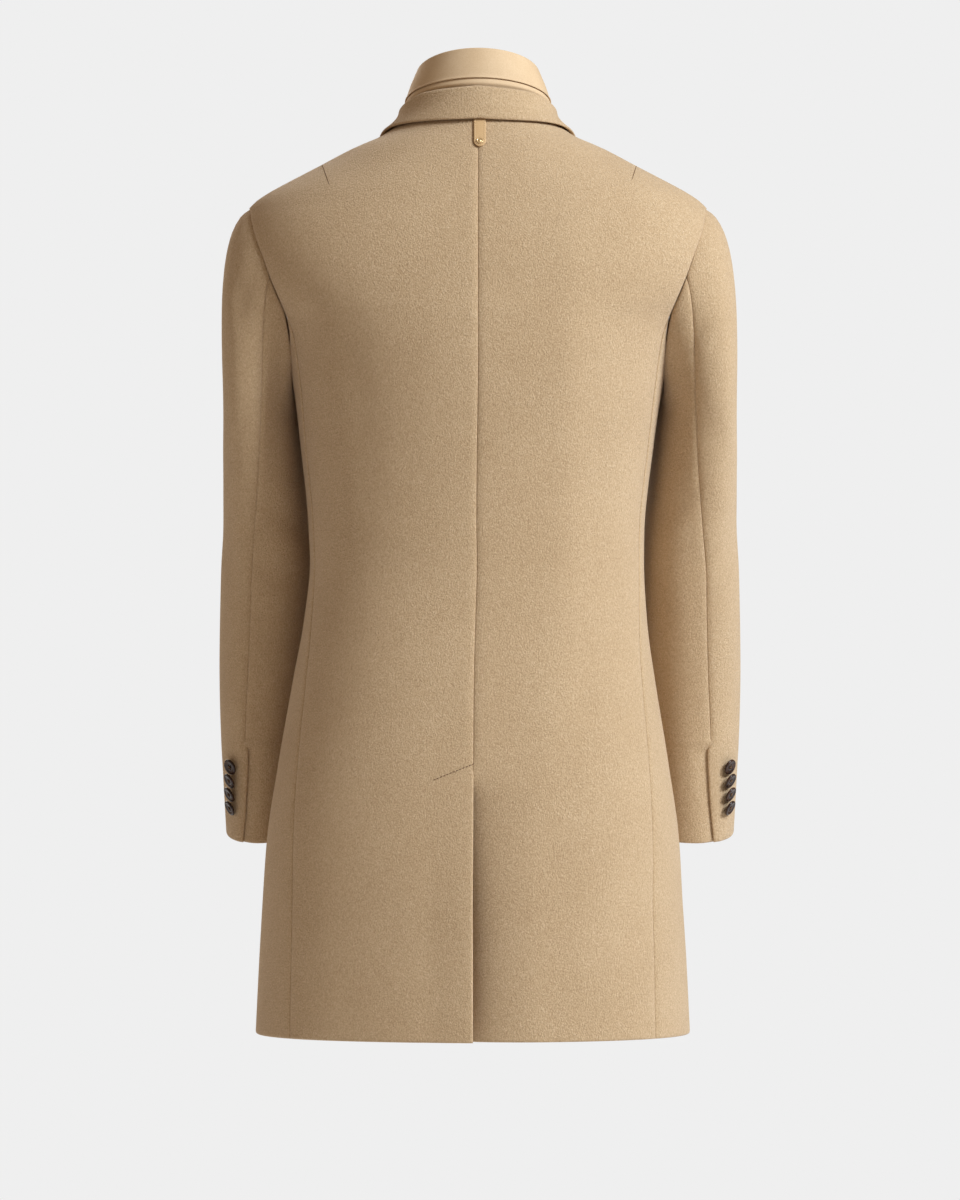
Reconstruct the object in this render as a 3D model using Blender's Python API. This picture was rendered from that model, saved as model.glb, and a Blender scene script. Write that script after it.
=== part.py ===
"""A worn single-breasted wool overcoat with a bib insert, as hollow cloth walls.

Metres, +Z up. The wearer faces -Y, so +X is the wearer's left. The origin is the centre of the
neck opening, at the height of the neck seam at the centre back. Angles round the body start at
the centre back and grow towards the wearer's left.
"""

import math

import bmesh
import bpy
import numpy as np
from mathutils import Matrix, Vector

# Driving dimensions
wool = 0.0027          # thickness of the felted wool walls
bibCloth = 0.0015      # thickness of the smoother bib cloth
seamGap = 0.0003       # parting between neighbouring pieces
backLength = 0.915     # neck seam to hem at the centre back
ventTop = -0.645       # height of the top of the centre vent
ventLap = 0.040        # width of the vent's hidden underlap
ventTaper = 0.030      # height over which the right half sinks under the left
ventHollow = 0.028     # width over which it sinks
kinkHeight = -0.201    # where side seams meet the armhole
armpitHeight = -0.262
shoulderHeight = -0.0905
frontLap = 0.020       # how far each front passes the centre front
frontUnder = 0.030     # width over which the right front sinks under the left
lapelFoot = -0.295     # height where the lapels start
bibFoot = -0.390       # height where the bib's panels end
collarEnd = math.radians(135)    # each side of the centre back

# Torso rings: z at the centre back, half width, back and front reach, superellipse exponent,
# how far the ring drops at the sides and at the front, and its shift to the wearer's left
torsoColumns = ("z", "halfWidth", "backY", "frontY", "power", "sideDrop", "frontDrop", "shift")
torsoRows = (
    (-0.9150, 0.2170, 0.146, -0.143, 2.30, 0.0000, 0.000, 0.0072),
    (-0.8400, 0.2133, 0.144, -0.141, 2.30, 0.0000, 0.000, 0.0072),
    (-0.7830, 0.2098, 0.142, -0.139, 2.30, 0.0000, 0.000, 0.0074),
    (-0.7230, 0.2060, 0.139, -0.137, 2.30, 0.0000, 0.000, 0.0070),
    (-0.6430, 0.1945, 0.133, -0.133, 2.30, 0.0000, 0.000, 0.0066),
    (-0.5630, 0.1810, 0.124, -0.128, 2.30, 0.0000, 0.000, 0.0060),
    (-0.5030, 0.1715, 0.117, -0.124, 2.30, 0.0000, 0.000, 0.0045),
    (-0.4450, 0.1670, 0.114, -0.122, 2.30, 0.0000, 0.000, 0.0030),
    (-0.4100, 0.1680, 0.115, -0.123, 2.30, 0.0000, 0.000, 0.0035),
    (-0.3330, 0.1760, 0.121, -0.129, 2.30, 0.0000, 0.000, 0.0030),
    (-0.2620, 0.1860, 0.128, -0.134, 2.30, 0.0000, 0.000, 0.0020),
    (-0.2220, 0.1955, 0.130, -0.136, 2.30, 0.0000, 0.000, 0.0020),
    (-0.2010, 0.2060, 0.130, -0.136, 2.25, 0.0000, 0.000, 0.0020),
    (-0.1840, 0.2210, 0.128, -0.136, 2.25, 0.0000, 0.000, 0.0020),
    (-0.1650, 0.2330, 0.126, -0.135, 2.25, 0.0000, 0.000, 0.0020),
    (-0.1440, 0.2395, 0.123, -0.134, 2.25, 0.0000, 0.000, 0.0020),
    (-0.1240, 0.2415, 0.118, -0.132, 2.25, 0.0000, 0.001, 0.0020),
    (-0.1080, 0.2375, 0.113, -0.129, 2.25, 0.0000, 0.003, 0.0020),
    (-0.0970, 0.2330, 0.109, -0.126, 2.22, 0.0005, 0.005, 0.0020),
    (-0.0905, 0.2290, 0.1065, -0.124, 2.20, 0.0010, 0.007, 0.0020),
    (-0.0835, 0.2225, 0.104, -0.122, 2.20, 0.0015, 0.010, 0.0020),
    (-0.0745, 0.2105, 0.1005, -0.120, 2.20, 0.0025, 0.016, 0.0020),
    (-0.0655, 0.1955, 0.096, -0.118, 2.20, 0.0035, 0.022, 0.0020),
    (-0.0475, 0.1630, 0.087, -0.112, 2.18, 0.0055, 0.035, 0.0020),
    (-0.0290, 0.1290, 0.077, -0.103, 2.15, 0.0080, 0.050, 0.0020),
    (-0.0192, 0.1050, 0.071, -0.096, 2.10, 0.0098, 0.060, 0.0020),
    (-0.0085, 0.0880, 0.0655, -0.088, 2.05, 0.0110, 0.066, 0.0020),
    (0.0000, 0.0755, 0.061, -0.080, 2.00, 0.0124, 0.070, 0.0020),
)

# How far out the armhole seam lies, from the shoulder point down to the side seams
armholeColumns = ("z", "x")
armholeRows = (
    (-0.2010, 0.1915), (-0.1840, 0.1985), (-0.1650, 0.2065), (-0.1440, 0.2140),
    (-0.1240, 0.2215), (-0.1080, 0.2260), (-0.0970, 0.2278), (-0.0905, 0.2290),
)

# Where the side seams run, as a share of the half width
sideSeamColumns = ("z", "share")
sideSeamRows = (
    (-0.915, 0.834), (-0.790, 0.850), (-0.715, 0.869), (-0.653, 0.894), (-0.549, 0.931),
    (-0.500, 0.955), (-0.445, 0.970), (-0.350, 0.970), (-0.260, 0.955), (-0.201, 0.9296),
)

# The front edge: below the lapels it passes the centre front, above them it is the roll line
frontEdgeColumns = ("z", "x")
frontEdgeRows = (
    (-0.915, -frontLap), (-0.340, -frontLap), (-0.325, -0.017), (-0.300, 0.000),
    (-0.200, 0.022), (-0.100, 0.044), (0.000, 0.0575),
)

# Sleeve rings below the head: height, outer and inner reach, middle and half depth, how much
# the ring drops and leans out for each metre towards the back, and where the back seam lies
sleeveColumns = ("z", "outerX", "innerX", "middleY", "halfDepth", "tilt", "lean", "seamX")
sleeveRows = (
    (-0.719, 0.2585, 0.1850, -0.116, 0.0470, 0.22, 0.00, 0.2420),
    (-0.660, 0.2615, 0.1810, -0.110, 0.0500, 0.21, 0.00, 0.2370),
    (-0.600, 0.2640, 0.1760, -0.102, 0.0530, 0.20, 0.02, 0.2345),
    (-0.550, 0.2643, 0.1700, -0.094, 0.0560, 0.18, 0.05, 0.2320),
    (-0.500, 0.2630, 0.1650, -0.084, 0.0590, 0.16, 0.08, 0.2295),
    (-0.450, 0.2612, 0.1630, -0.073, 0.0620, 0.14, 0.11, 0.2280),
    (-0.400, 0.2578, 0.1670, -0.061, 0.0650, 0.11, 0.15, 0.2235),
    (-0.350, 0.2570, 0.1740, -0.046, 0.0680, 0.08, 0.19, 0.2190),
    (-0.300, 0.2555, 0.1800, -0.028, 0.0690, 0.05, 0.22, 0.2160),
)
sleevePower = 2.25
sleevePart = 0.00028    # how far each sleeve piece keeps back from its seams
sleeveHeadRings = 8
cuffVentTop = -0.628

# The collar's leaf: angle, top of the fold, how far down the coat its edge rests, at which
# angle, how far it stands off the coat there (the tab passes under it at the back), and how far
# it bellies out between, as a share of its fall
collarColumns = ("degrees", "foldZ", "edgeZ", "edgeDegrees", "clear", "belly")
collarRows = (
    (0, 0.0265, -0.0085, 0, 0.0024, 0.06), (45, 0.0215, -0.0125, 45, 0.0022, 0.06),
    (65, 0.0145, -0.0138, 64.5, 0.0018, 0.06), (90, 0.0055, -0.0150, 88.5, 0.0010, 0.06),
    (110, -0.0080, -0.0210, 106, 0.0022, 0.10), (135, -0.0365, -0.0280, 126.5, 0.0034, 0.22),
)
collarWool = 0.0028
foldRadius = 0.0021    # of the middle of the wall where the collar turns down
lapelLift = 0.0012     # how far the lapels stand off the fronts at their foot

# The bib's stand and its outer collar: height at the back, then the ring's outer reaches
bibColumns = ("z", "halfWidth", "backY", "frontY", "sideDrop", "frontDrop")
bibStandRows = (
    (0.000, 0.0718, 0.0572, -0.0762, 0.0124, 0.0735), (0.012, 0.0716, 0.0572, -0.0756, 0.0160, 0.060),
    (0.024, 0.0718, 0.0570, -0.0750, 0.0190, 0.050), (0.031, 0.0730, 0.0562, -0.0746, 0.0200, 0.046),
    (0.0345, 0.0703, 0.0541, -0.0734, 0.0203, 0.044), (0.046, 0.0660, 0.0512, -0.0719, 0.0205, 0.042),
    (0.063, 0.0588, 0.0466, -0.0696, 0.0205, 0.041),
)
bibLeafRows = (
    (0.0345, 0.0727, 0.0565, -0.0760, 0.0203, 0.044), (0.046, 0.0685, 0.0538, -0.0745, 0.0205, 0.042),
    (0.056, 0.0645, 0.0512, -0.0732, 0.0205, 0.041), (0.065, 0.0612, 0.0490, -0.0722, 0.0205, 0.041),
)

# Trims
tabWidth = 0.0118
tabThick = 0.0015
tabTop = -0.0030       # hidden under the collar
tabFoot = -0.0359
tabX = 0.0003
studHeight = -0.0308
studRadius = 0.0035
studThick = 0.0012
cuffButtonRadius = 0.0082
cuffButtonThick = 0.0028
cuffButtonDrops = (12, 21, 21, 21)      # degrees that each button, from the top, faces downwards
cuffButtonTurns = (4, 14, 14, 14)       # degrees that it faces further outwards than its sleeve
cuffButtonLifts = (0.0008, 0.0001, 0.0002, -0.0005)     # what its thread adds to its height
cuffButtonTop = -0.6510    # height of the first of four
cuffButtonPitch = 0.0139
cuffButtonX = 0.2497
frontButtonRadius = 0.0120
frontButtonThick = 0.0036
frontButtonHeights = (-0.365, -0.475, -0.585)

# Linear colours
camel = (0.54, 0.38, 0.24)
paleCamel = (0.60, 0.44, 0.30)
tan = (0.57, 0.36, 0.18)
horn = (0.035, 0.020, 0.012)
brass = (0.62, 0.45, 0.27)


def clearScene():
    for thing in list(bpy.data.objects):
        bpy.data.objects.remove(thing, do_unlink=True)


def columnsOf(columns, rows):
    """Each column of a table as a smooth function of the first, with no overshoot."""
    table = np.array(rows, float)
    knots = table[:, 0]
    return {name: smoothCurve(knots, table[:, i]) for i, name in enumerate(columns)}


def smoothCurve(knots, values):
    """A monotone cubic through the knots."""
    steps = np.diff(knots)
    rises = np.diff(values) / steps
    slopes = np.zeros(len(knots))
    slopes[0], slopes[-1] = rises[0], rises[-1]
    both = rises[:-1] * rises[1:]
    slopes[1:-1] = np.where(both > 0, 2 * both / np.where(both > 0, rises[:-1] + rises[1:], 1), 0)

    def value(at):
        at = np.clip(at, knots[0], knots[-1])
        i = np.clip(np.searchsorted(knots, at, side="right") - 1, 0, len(steps) - 1)
        t = (at - knots[i]) / steps[i]
        start = (1 + 2 * t) * (1 - t) ** 2 * values[i] + t * (1 - t) ** 2 * steps[i] * slopes[i]
        end = t * t * (3 - 2 * t) * values[i + 1] + t * t * (t - 1) * steps[i] * slopes[i + 1]
        return start + end

    return value


def easeStep(at, start, end):
    """0 before start, 1 past end, smooth between."""
    t = np.clip((at - start) / (end - start), 0, 1)
    return t * t * (3 - 2 * t)


def unit(vectors):
    return vectors / np.linalg.norm(vectors, axis=-1, keepdims=True)


def ringDrop(angle, side, front):
    """How far a ring lies below its centre-back height, through its drops at side and front."""
    share = (1 - np.cos(angle)) / 2
    return (4 * side - front) * share + (2 * front - 4 * side) * share**2


def ringPoint(ring, z, angle):
    """The point of a table's ring at this angle, round the ring's own middle."""
    across = ring["halfWidth"](z)
    deep = (ring["backY"](z) - ring["frontY"](z)) / 2
    middle = (ring["backY"](z) + ring["frontY"](z)) / 2
    power = ring["power"](z) if "power" in ring else 2.0
    shift = ring["shift"](z) if "shift" in ring else 0.002
    sine, cosine = np.sin(angle), np.cos(angle)
    reach = (np.abs(sine / across) ** power + np.abs(cosine / deep) ** power) ** (-1 / power)
    drop = ringDrop(angle, ring["sideDrop"](z), ring["frontDrop"](z))
    return np.stack([shift + reach * sine, middle + reach * cosine, z - drop], axis=-1)


def ringNormal(ring, z, angle, low, high):
    """The ring surface's outward unit normal."""
    small = 1e-4
    around = ringPoint(ring, z, angle + small) - ringPoint(ring, z, angle - small)
    above, below = np.minimum(z + small, high), np.maximum(z - small, low)
    return unit(np.cross(ringPoint(ring, above, angle) - ringPoint(ring, below, angle), around))


torso = columnsOf(torsoColumns, torsoRows)
armhole = columnsOf(armholeColumns, armholeRows)
sideSeam = columnsOf(sideSeamColumns, sideSeamRows)
frontEdge = columnsOf(frontEdgeColumns, frontEdgeRows)
sleeve = columnsOf(sleeveColumns, sleeveRows)
collarEdge = columnsOf(collarColumns, collarRows)
bibStand = columnsOf(bibColumns, bibStandRows)
bibLeaf = columnsOf(bibColumns, bibLeafRows)


def onTorso(z, angle, out=0.0):
    """A point of the coat's outer surface, moved out along its normal."""
    z, angle = np.broadcast_arrays(np.asarray(z, float), np.asarray(angle, float))
    normal = ringNormal(torso, z, angle, torsoRows[0][0], torsoRows[-1][0])
    return ringPoint(torso, z, angle) + normal * np.asarray(out)[..., None], normal


def angleAtShare(z, share):
    """The angle from the centre back at which the ring's x is this share of its half width."""
    power = torso["power"](z)
    deep = (torso["backY"](z) - torso["frontY"](z)) / 2
    share = np.clip(share, -1, 1)
    y = deep * (1 - np.abs(share) ** power) ** (1 / power)
    return np.arctan2(share * torso["halfWidth"](z), y)


def sideSeamAngle(z):
    return angleAtShare(z, sideSeam["share"](z))


def armholeAngle(z):
    return angleAtShare(z, armhole["x"](z) / torso["halfWidth"](z))


def outerEdgeAngle(z):
    """The edge of a back or front panel: side seam, then armhole, then shoulder seam."""
    z = np.asarray(z, float)
    upper = np.where(z < shoulderHeight - 1e-9, armholeAngle(np.clip(z, kinkHeight, 0)), math.pi / 2)
    return np.where(z <= kinkHeight, sideSeamAngle(z), upper)


def frontEdgeAngle(z):
    return math.pi - angleAtShare(z, frontEdge["x"](z) / torso["halfWidth"](z))


def levels(*stretches):
    """Heights from the hem up: each stretch is a first height, a last height and its steps."""
    found = [np.linspace(first, last, steps + 1)[:-1] for first, last, steps in stretches]
    return np.append(np.concatenate(found), stretches[-1][1])


sinkFoot = ventTop - ventTaper
lowerLevels = levels((-backLength, sinkFoot, 5), (sinkFoot, ventTop, 2), (ventTop, kinkHeight, 9))
armholeLevels = np.array([row[0] for row in armholeRows])
shoulderLevels = np.array([row[0] for row in torsoRows if row[0] >= shoulderHeight])
panelLevels = np.concatenate([lowerLevels, armholeLevels[1:], shoulderLevels[1:]])


def pulledIn(points, sides, by=seamGap / 2):
    """The grid with these sides moved towards their neighbouring rows or columns."""
    moved = points.copy()
    steps = {"first": (0, 1), "last": (-1, -2)}
    for side in sides:
        line, end = side.split(" ")
        edge, inner = steps[end]
        if line == "row":
            moved[edge] += unit(points[inner] - points[edge]) * by
        else:
            moved[:, edge] += unit(points[:, inner] - points[:, edge]) * by
    return moved


def wallMesh(name, outer, inner, kept=None):
    """A closed wall between two grids of points. Both sides of a seam share their normals, so
    that neighbouring walls stay parallel there; a cell where kept is False is left out."""
    rows, columns = outer.shape[:2]
    kept = np.ones((rows - 1, columns - 1), bool) if kept is None else kept
    mesh = bmesh.new()
    used = {}

    def vertex(i, j, side):
        if (i, j, side) not in used:
            used[i, j, side] = mesh.verts.new((outer, inner)[side][i, j])
        return used[i, j, side]

    edges = {}
    for i, j in zip(*np.nonzero(kept)):
        corners = [(i, j), (i, j + 1), (i + 1, j + 1), (i + 1, j)]
        mesh.faces.new([vertex(*corner, 0) for corner in corners])
        mesh.faces.new([vertex(*corner, 1) for corner in reversed(corners)])
        for edge in zip(corners, corners[1:] + corners[:1]):
            edges[edge] = True
    for start, end in edges:
        if (end, start) not in edges:
            rim = [vertex(*end, 0), vertex(*start, 0), vertex(*start, 1), vertex(*end, 1)]
            mesh.faces.new(rim)
    if mesh.calc_volume(signed=True) < 0:
        bmesh.ops.reverse_faces(mesh, faces=mesh.faces)
    made = bpy.data.meshes.new(name)
    mesh.to_mesh(made)
    mesh.free()
    return made


def addPiece(mesh, name, material):
    piece = bpy.data.objects.new(name, mesh)
    mesh.materials.clear()
    mesh.materials.append(material)
    mesh.shade_smooth()
    mesh.set_sharp_from_angle(angle=math.radians(60))
    coat.objects.link(piece)
    return piece


def finish(name, colour, roughness):
    material = bpy.data.materials.new(name)
    material.use_nodes = True
    shader = material.node_tree.nodes["Principled BSDF"]
    shader.inputs["Base Color"].default_value = (*colour, 1)
    shader.inputs["Roughness"].default_value = roughness
    shader.inputs["Metallic"].default_value = 0.0
    return material


def torsoPanel(name, z, angle, offset, sides, side=1, kept=None):
    """A body panel over a grid of heights and angles; side -1 mirrors it to the right."""
    points, normal = onTorso(z, side * angle, offset)
    outer = pulledIn(points, sides)
    addPiece(wallMesh(name, outer, outer - wool * normal, kept), name, woolFinish)


def ventInset(z, angle):
    """How far the right half sinks beside the vent, to pass under the left half."""
    near = ringPoint(torso, z, angle)[..., 0] - torso["shift"](z)
    sink = 1 - easeStep(near, 0.004, ventHollow)
    return -(wool + seamGap) * sink * easeStep(ventTop - z, 0, ventTaper)


def addBacks():
    seamColumns = 9
    share = np.linspace(0, 1, seamColumns + 1)
    z = np.repeat(panelLevels[:, None], seamColumns + 1, axis=1)
    angle = outerEdgeAngle(panelLevels)[:, None] * share
    torsoPanel("back_left", z, angle, 0 * z, ("column first", "column last", "row last"))

    lapColumns = 2
    lap = -ventLap * np.linspace(1, 0, lapColumns + 1)[:-1]
    lapAngle = np.arctan2(lap[None, :], torso["backY"](panelLevels)[:, None])
    wideZ = np.repeat(panelLevels[:, None], seamColumns + 1 + lapColumns, axis=1)
    wideAngle = np.concatenate([lapAngle, angle], axis=1)
    inset = ventInset(wideZ, np.maximum(wideAngle, 0))
    kept = np.ones((len(panelLevels) - 1, seamColumns + lapColumns), bool)
    kept[panelLevels[1:] > sinkFoot + 1e-6, :lapColumns] = False
    points, normal = onTorso(wideZ, -wideAngle, inset)
    outer = pulledIn(points, ("column last", "row last"))
    above = panelLevels > sinkFoot - 1e-6
    seam = lapColumns
    outer[above, seam] += unit(points[above, seam + 1] - points[above, seam]) * seamGap / 2
    addPiece(wallMesh("back_right", outer, outer - wool * normal, kept), "back_right", woolFinish)


def sidePanelGrid():
    """The side panel's heights and angles: its top follows the underarm."""
    columns = 6
    share = np.linspace(0, 1, columns + 1)
    top = kinkHeight - (kinkHeight - armpitHeight) * np.sin(math.pi * share) ** 0.8
    rise = (lowerLevels - lowerLevels[0]) / (lowerLevels[-1] - lowerLevels[0])
    z = lowerLevels[0] + rise[:, None] * (top - lowerLevels[0])
    seam = sideSeamAngle(lowerLevels)[:, None] + 0 * z
    armholeTurn = sideSeamAngle(lowerLevels)[:, None]
    return z, seam + share * (math.pi - 2 * armholeTurn)


def addSides():
    z, angle = sidePanelGrid()
    for name, side in (("side_left", 1), ("side_right", -1)):
        torsoPanel(name, z, angle, 0 * z, ("column first", "column last", "row last"), side)


def frontInset(z, angle):
    """How far the right front lies under the left one near the centre front."""
    near = ringPoint(torso, z, angle)[..., 0] - torso["shift"](z)
    sink = 1 - easeStep(near, frontLap + 0.003, frontLap + frontUnder)
    facing = np.cos(angle) < 0
    return -(wool + 3 * seamGap) * sink * facing * (1 - easeStep(z, lapelFoot + 0.03, lapelFoot + 0.08))


def addFronts():
    columns = 9
    share = np.linspace(0, 1, columns + 1)
    z = np.repeat(panelLevels[:, None], columns + 1, axis=1)
    start = math.pi - outerEdgeAngle(panelLevels)
    span = frontEdgeAngle(panelLevels) - start
    angle = start[:, None] + span[:, None] * share
    sides = ("column first", "row last")
    torsoPanel("front_left", z, angle, 0 * z, sides)
    torsoPanel("front_right", z, angle, frontInset(z, angle), sides, -1)


def addLapels():
    """Each lapel lies on its front, its roll line on the front's edge."""
    rows, columns = 18, 5
    share = np.linspace(0, 1, columns + 1)
    rise = np.linspace(0, 1, rows + 1)[:, None]
    top = -0.006 - 0.058 * share
    z = lapelFoot + rise * (top - lapelFoot)
    width = 0.004 + 0.072 * np.minimum(rise * 1.15, 1.08) ** 0.85
    x = frontEdge["x"](z) + width * share
    angle = math.pi - angleAtShare(z, x / torso["halfWidth"](z))
    lift = lapelLift * (1 + rise**4)
    for name, side in (("lapel_left", 1), ("lapel_right", -1)):
        under = frontInset(z, angle) if side < 0 else 0 * z
        points, normal = onTorso(z, side * angle, under + lift + wool)
        addPiece(wallMesh(name, points, points - wool * normal), name, woolFinish)


def sleeveGrid(side):
    """A sleeve's outer surface: columns run from the shoulder point round the back, rows from
    the armhole to the cuff. Each head column is a cubic that leaves the armhole outwards and
    reaches the first ring straight down."""
    backZ = armholeLevels[::-1]
    backAngle = armholeAngle(backZ)
    backAngle[0] = math.pi / 2
    sideZ, sideAngle = sidePanelGrid()
    ringZ = np.concatenate([backZ, sideZ[-1, 1:-1], backZ[:0:-1]])
    frontAngle = math.pi - backAngle[:0:-1]
    ringAngle = np.concatenate([backAngle, sideAngle[-1, 1:-1], frontAngle])
    start, _ = onTorso(ringZ, side * ringAngle)
    count = len(start)

    seamColumn = int(np.argmin(np.abs(backZ + 0.165)))
    armpitColumn = count // 2
    frontSeam = count - seamColumn
    heights = levels((sleeveRows[-1][0], cuffVentTop, 9), (cuffVentTop, sleeveRows[0][0], 4))

    def ringPart(z, turn):
        """How far out and back the ring reaches at this turn from its outer point."""
        reach, depth = (sleeve["outerX"](z) - sleeve["innerX"](z)) / 2, sleeve["halfDepth"](z)
        across = math.sqrt(reach**2 - (sleeve["lean"](z) * depth) ** 2)
        cosine, sine = np.cos(turn), np.sin(turn)
        y = depth * np.sign(sine) * np.abs(sine) ** (2 / sleevePower)
        x = across * np.sign(cosine) * np.abs(cosine) ** (2 / sleevePower) + sleeve["lean"](z) * y
        return (sleeve["outerX"](z) + sleeve["innerX"](z)) / 2 + x, y

    def turnsAt(z):
        tries = np.linspace(math.radians(20), math.radians(150), 400)
        seamTurn = tries[np.argmin(np.abs(ringPart(z, tries)[0] - sleeve["seamX"](z)))]
        anchors = (0, seamColumn, armpitColumn, frontSeam, count)
        turns = (0, seamTurn, math.pi, 2 * math.pi - seamTurn, 2 * math.pi)
        return np.interp(np.arange(count), anchors, turns)

    def ringAt(z):
        x, y = ringPart(z, turnsAt(z))
        inwards = (sleeve["outerX"](z) - x) / (sleeve["outerX"](z) - sleeve["innerX"](z))
        x = side * x + torso["shift"](z) * inwards
        return np.stack([x, sleeve["middleY"](z) + y, z - sleeve["tilt"](z) * y], axis=-1)

    tube = [ringAt(z) for z in heights]
    small = 0.002
    down = unit(ringAt(heights[0] - small) - ringAt(heights[0]))
    crown = np.cos(np.pi * np.arange(count) / count) ** 2
    around = np.sin(2 * np.pi * np.arange(count) / count)
    leave = np.stack([side * (0.22 + 0.62 * crown**2), 0.10 * around, 0.42 * crown**2 - 0.97], axis=-1)
    leave = unit(leave)
    reach = np.linalg.norm(tube[0] - start, axis=-1)[:, None]
    head = []
    for t in np.linspace(0, 1, sleeveHeadRings + 1)[:-1] ** 1.15:
        blend = ((1 + 2 * t) * (1 - t) ** 2, t * (1 - t) ** 2, t * t * (3 - 2 * t), t * t * (t - 1))
        pull = reach * (0.35 + 0.35 * crown[:, None])
        head.append(
            blend[0] * start + blend[1] * pull * leave + blend[2] * tube[0] + blend[3] * reach * down
        )
    head[0] = start + np.array([side * seamGap * 1.3, 0, 0])
    grid = np.array(head + tube)

    around = np.roll(grid, -1, axis=1) - np.roll(grid, 1, axis=1)
    along = np.gradient(grid, axis=0)
    normals = unit(np.cross(around, along))
    outward = grid - grid.mean(axis=1, keepdims=True)
    normals *= np.sign((normals * outward).sum())
    return grid, normals, seamColumn, frontSeam


def addSleeves():
    firstVentRow = sleeveHeadRings + 9
    for suffix, side in (("left", 1), ("right", -1)):
        grid, normals, backSeam, frontSeam = sleeveGrid(side)
        count = grid.shape[1]
        upper = np.arange(frontSeam, count + backSeam + 1) % count
        under = np.arange(backSeam, frontSeam + 1)
        lap = np.array([backSeam - 1])
        outer = pulledIn(grid[:, upper], ("column first", "column last"), sleevePart)
        name = "sleeve_upper_" + suffix
        addPiece(wallMesh(name, outer, outer - wool * normals[:, upper]), name, woolFinish)

        columns = np.concatenate([lap, under])
        sink = np.zeros((len(grid), len(columns), 1))
        sink[firstVentRow + 1:, :2] = wool + 2 * seamGap
        points = grid[:, columns].copy()
        lapNormals = normals[:, columns]
        points -= sink * lapNormals
        outer = pulledIn(points, ("column last",), sleevePart)
        above = slice(0, firstVentRow + 1)
        outer[above, 1] += unit(points[above, 2] - points[above, 1]) * sleevePart
        kept = np.ones((len(grid) - 1, len(columns) - 1), bool)
        kept[:firstVentRow + 1, 0] = False
        name = "sleeve_under_" + suffix
        addPiece(wallMesh(name, outer, outer - wool * lapNormals, kept), name, woolFinish)


def addCollar():
    """One folded wall: up the stand, over the fold, then down the leaf to rest on the coat."""
    columns = 26
    angle = np.linspace(-collarEnd, collarEnd, columns + 1)
    degrees = np.degrees(np.abs(angle))
    seam, _ = onTorso(0.0, angle)
    around = np.gradient(seam, axis=0)
    outward = unit(np.stack([-around[:, 1], around[:, 0], 0 * angle], axis=-1))
    outward *= np.sign((outward * seam).sum())
    half = collarWool / 2
    up = np.array([0, 0, 1.0])
    foot = seam - outward * half + up * (seamGap + 0.0004)
    foldZ = collarEdge["foldZ"](degrees) - foldRadius - half
    standTop = foot * (1, 1, 0) + up * foldZ[:, None]
    middle = standTop + outward * foldRadius
    leafTop = standTop + outward * 2 * foldRadius
    edgeAngle = np.sign(angle) * np.radians(collarEdge["edgeDegrees"](degrees))
    leafFoot, _ = onTorso(collarEdge["edgeZ"](degrees), edgeAngle, collarEdge["clear"](degrees) + half)
    lines = [foot + (standTop - foot) * t for t in (0, 0.5)]
    for turn in np.radians(np.linspace(180, 0, 5)):
        lines.append(middle + foldRadius * (outward * math.cos(turn) + up * math.sin(turn)))
    fall = np.linalg.norm(leafFoot - leafTop, axis=-1)[:, None]
    belly = collarEdge["belly"](degrees)[:, None]
    bend = leafTop - up * fall * (0.47 - 1.2 * belly) + outward * fall * belly
    for t in np.linspace(0, 1, 6)[1:]:
        lines.append((1 - t) ** 2 * leafTop + 2 * t * (1 - t) * bend + t * t * leafFoot)
    middleLine = np.array(lines)
    normal = unit(np.cross(np.gradient(middleLine, axis=1), np.gradient(middleLine, axis=0)))
    first, second = middleLine + normal * half, middleLine - normal * half
    addPiece(wallMesh("collar", first, second), "collar", woolFinish)


def bibRing(name, ring, rows, material):
    """A standing ring of bib cloth, parted at the centre front."""
    z = [row[0] for row in rows]
    parting = seamGap / 2 / abs(rows[0][3])
    angle = np.linspace(-math.pi + parting, math.pi - parting, 33)
    z, angle = np.meshgrid(z, angle, indexing="ij")
    points = ringPoint(ring, z, angle)
    normal = ringNormal(ring, z, angle, rows[0][0], rows[-1][0])
    addPiece(wallMesh(name, points, points - bibCloth * normal), name, material)


def addBib():
    bibRing("bib_stand", bibStand, bibStandRows, bibFinish)
    bibRing("bib_collar", bibLeaf, bibLeafRows, bibFinish)
    columns = 4
    share = np.linspace(0, 1, columns + 1)
    chest = np.concatenate([levels((bibFoot, kinkHeight, 5)), armholeLevels[1:], shoulderLevels[1:]])
    chest[-1] -= 2 * seamGap
    z = chest[:, None] + 0 * share
    edge = np.maximum(frontEdge["x"](z), 0.0) + 0.040
    widest = torso["halfWidth"](z) * np.interp(z, (-0.05, 0), (0.98, 0.90))
    parting = seamGap / 2 / 0.07
    end = angleAtShare(z, np.minimum(edge, widest) / torso["halfWidth"](z))
    angle = math.pi - parting - share * (end - parting)
    clear = 0.0008
    deep = -(wool + clear) - (wool + 5 * seamGap) * (1 - easeStep(z, -0.250, -0.180))
    for name, side in (("bib_left", 1), ("bib_right", -1)):
        points, normal = onTorso(z, side * angle, deep)
        addPiece(wallMesh(name, points, points - bibCloth * normal), name, bibFinish)


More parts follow.
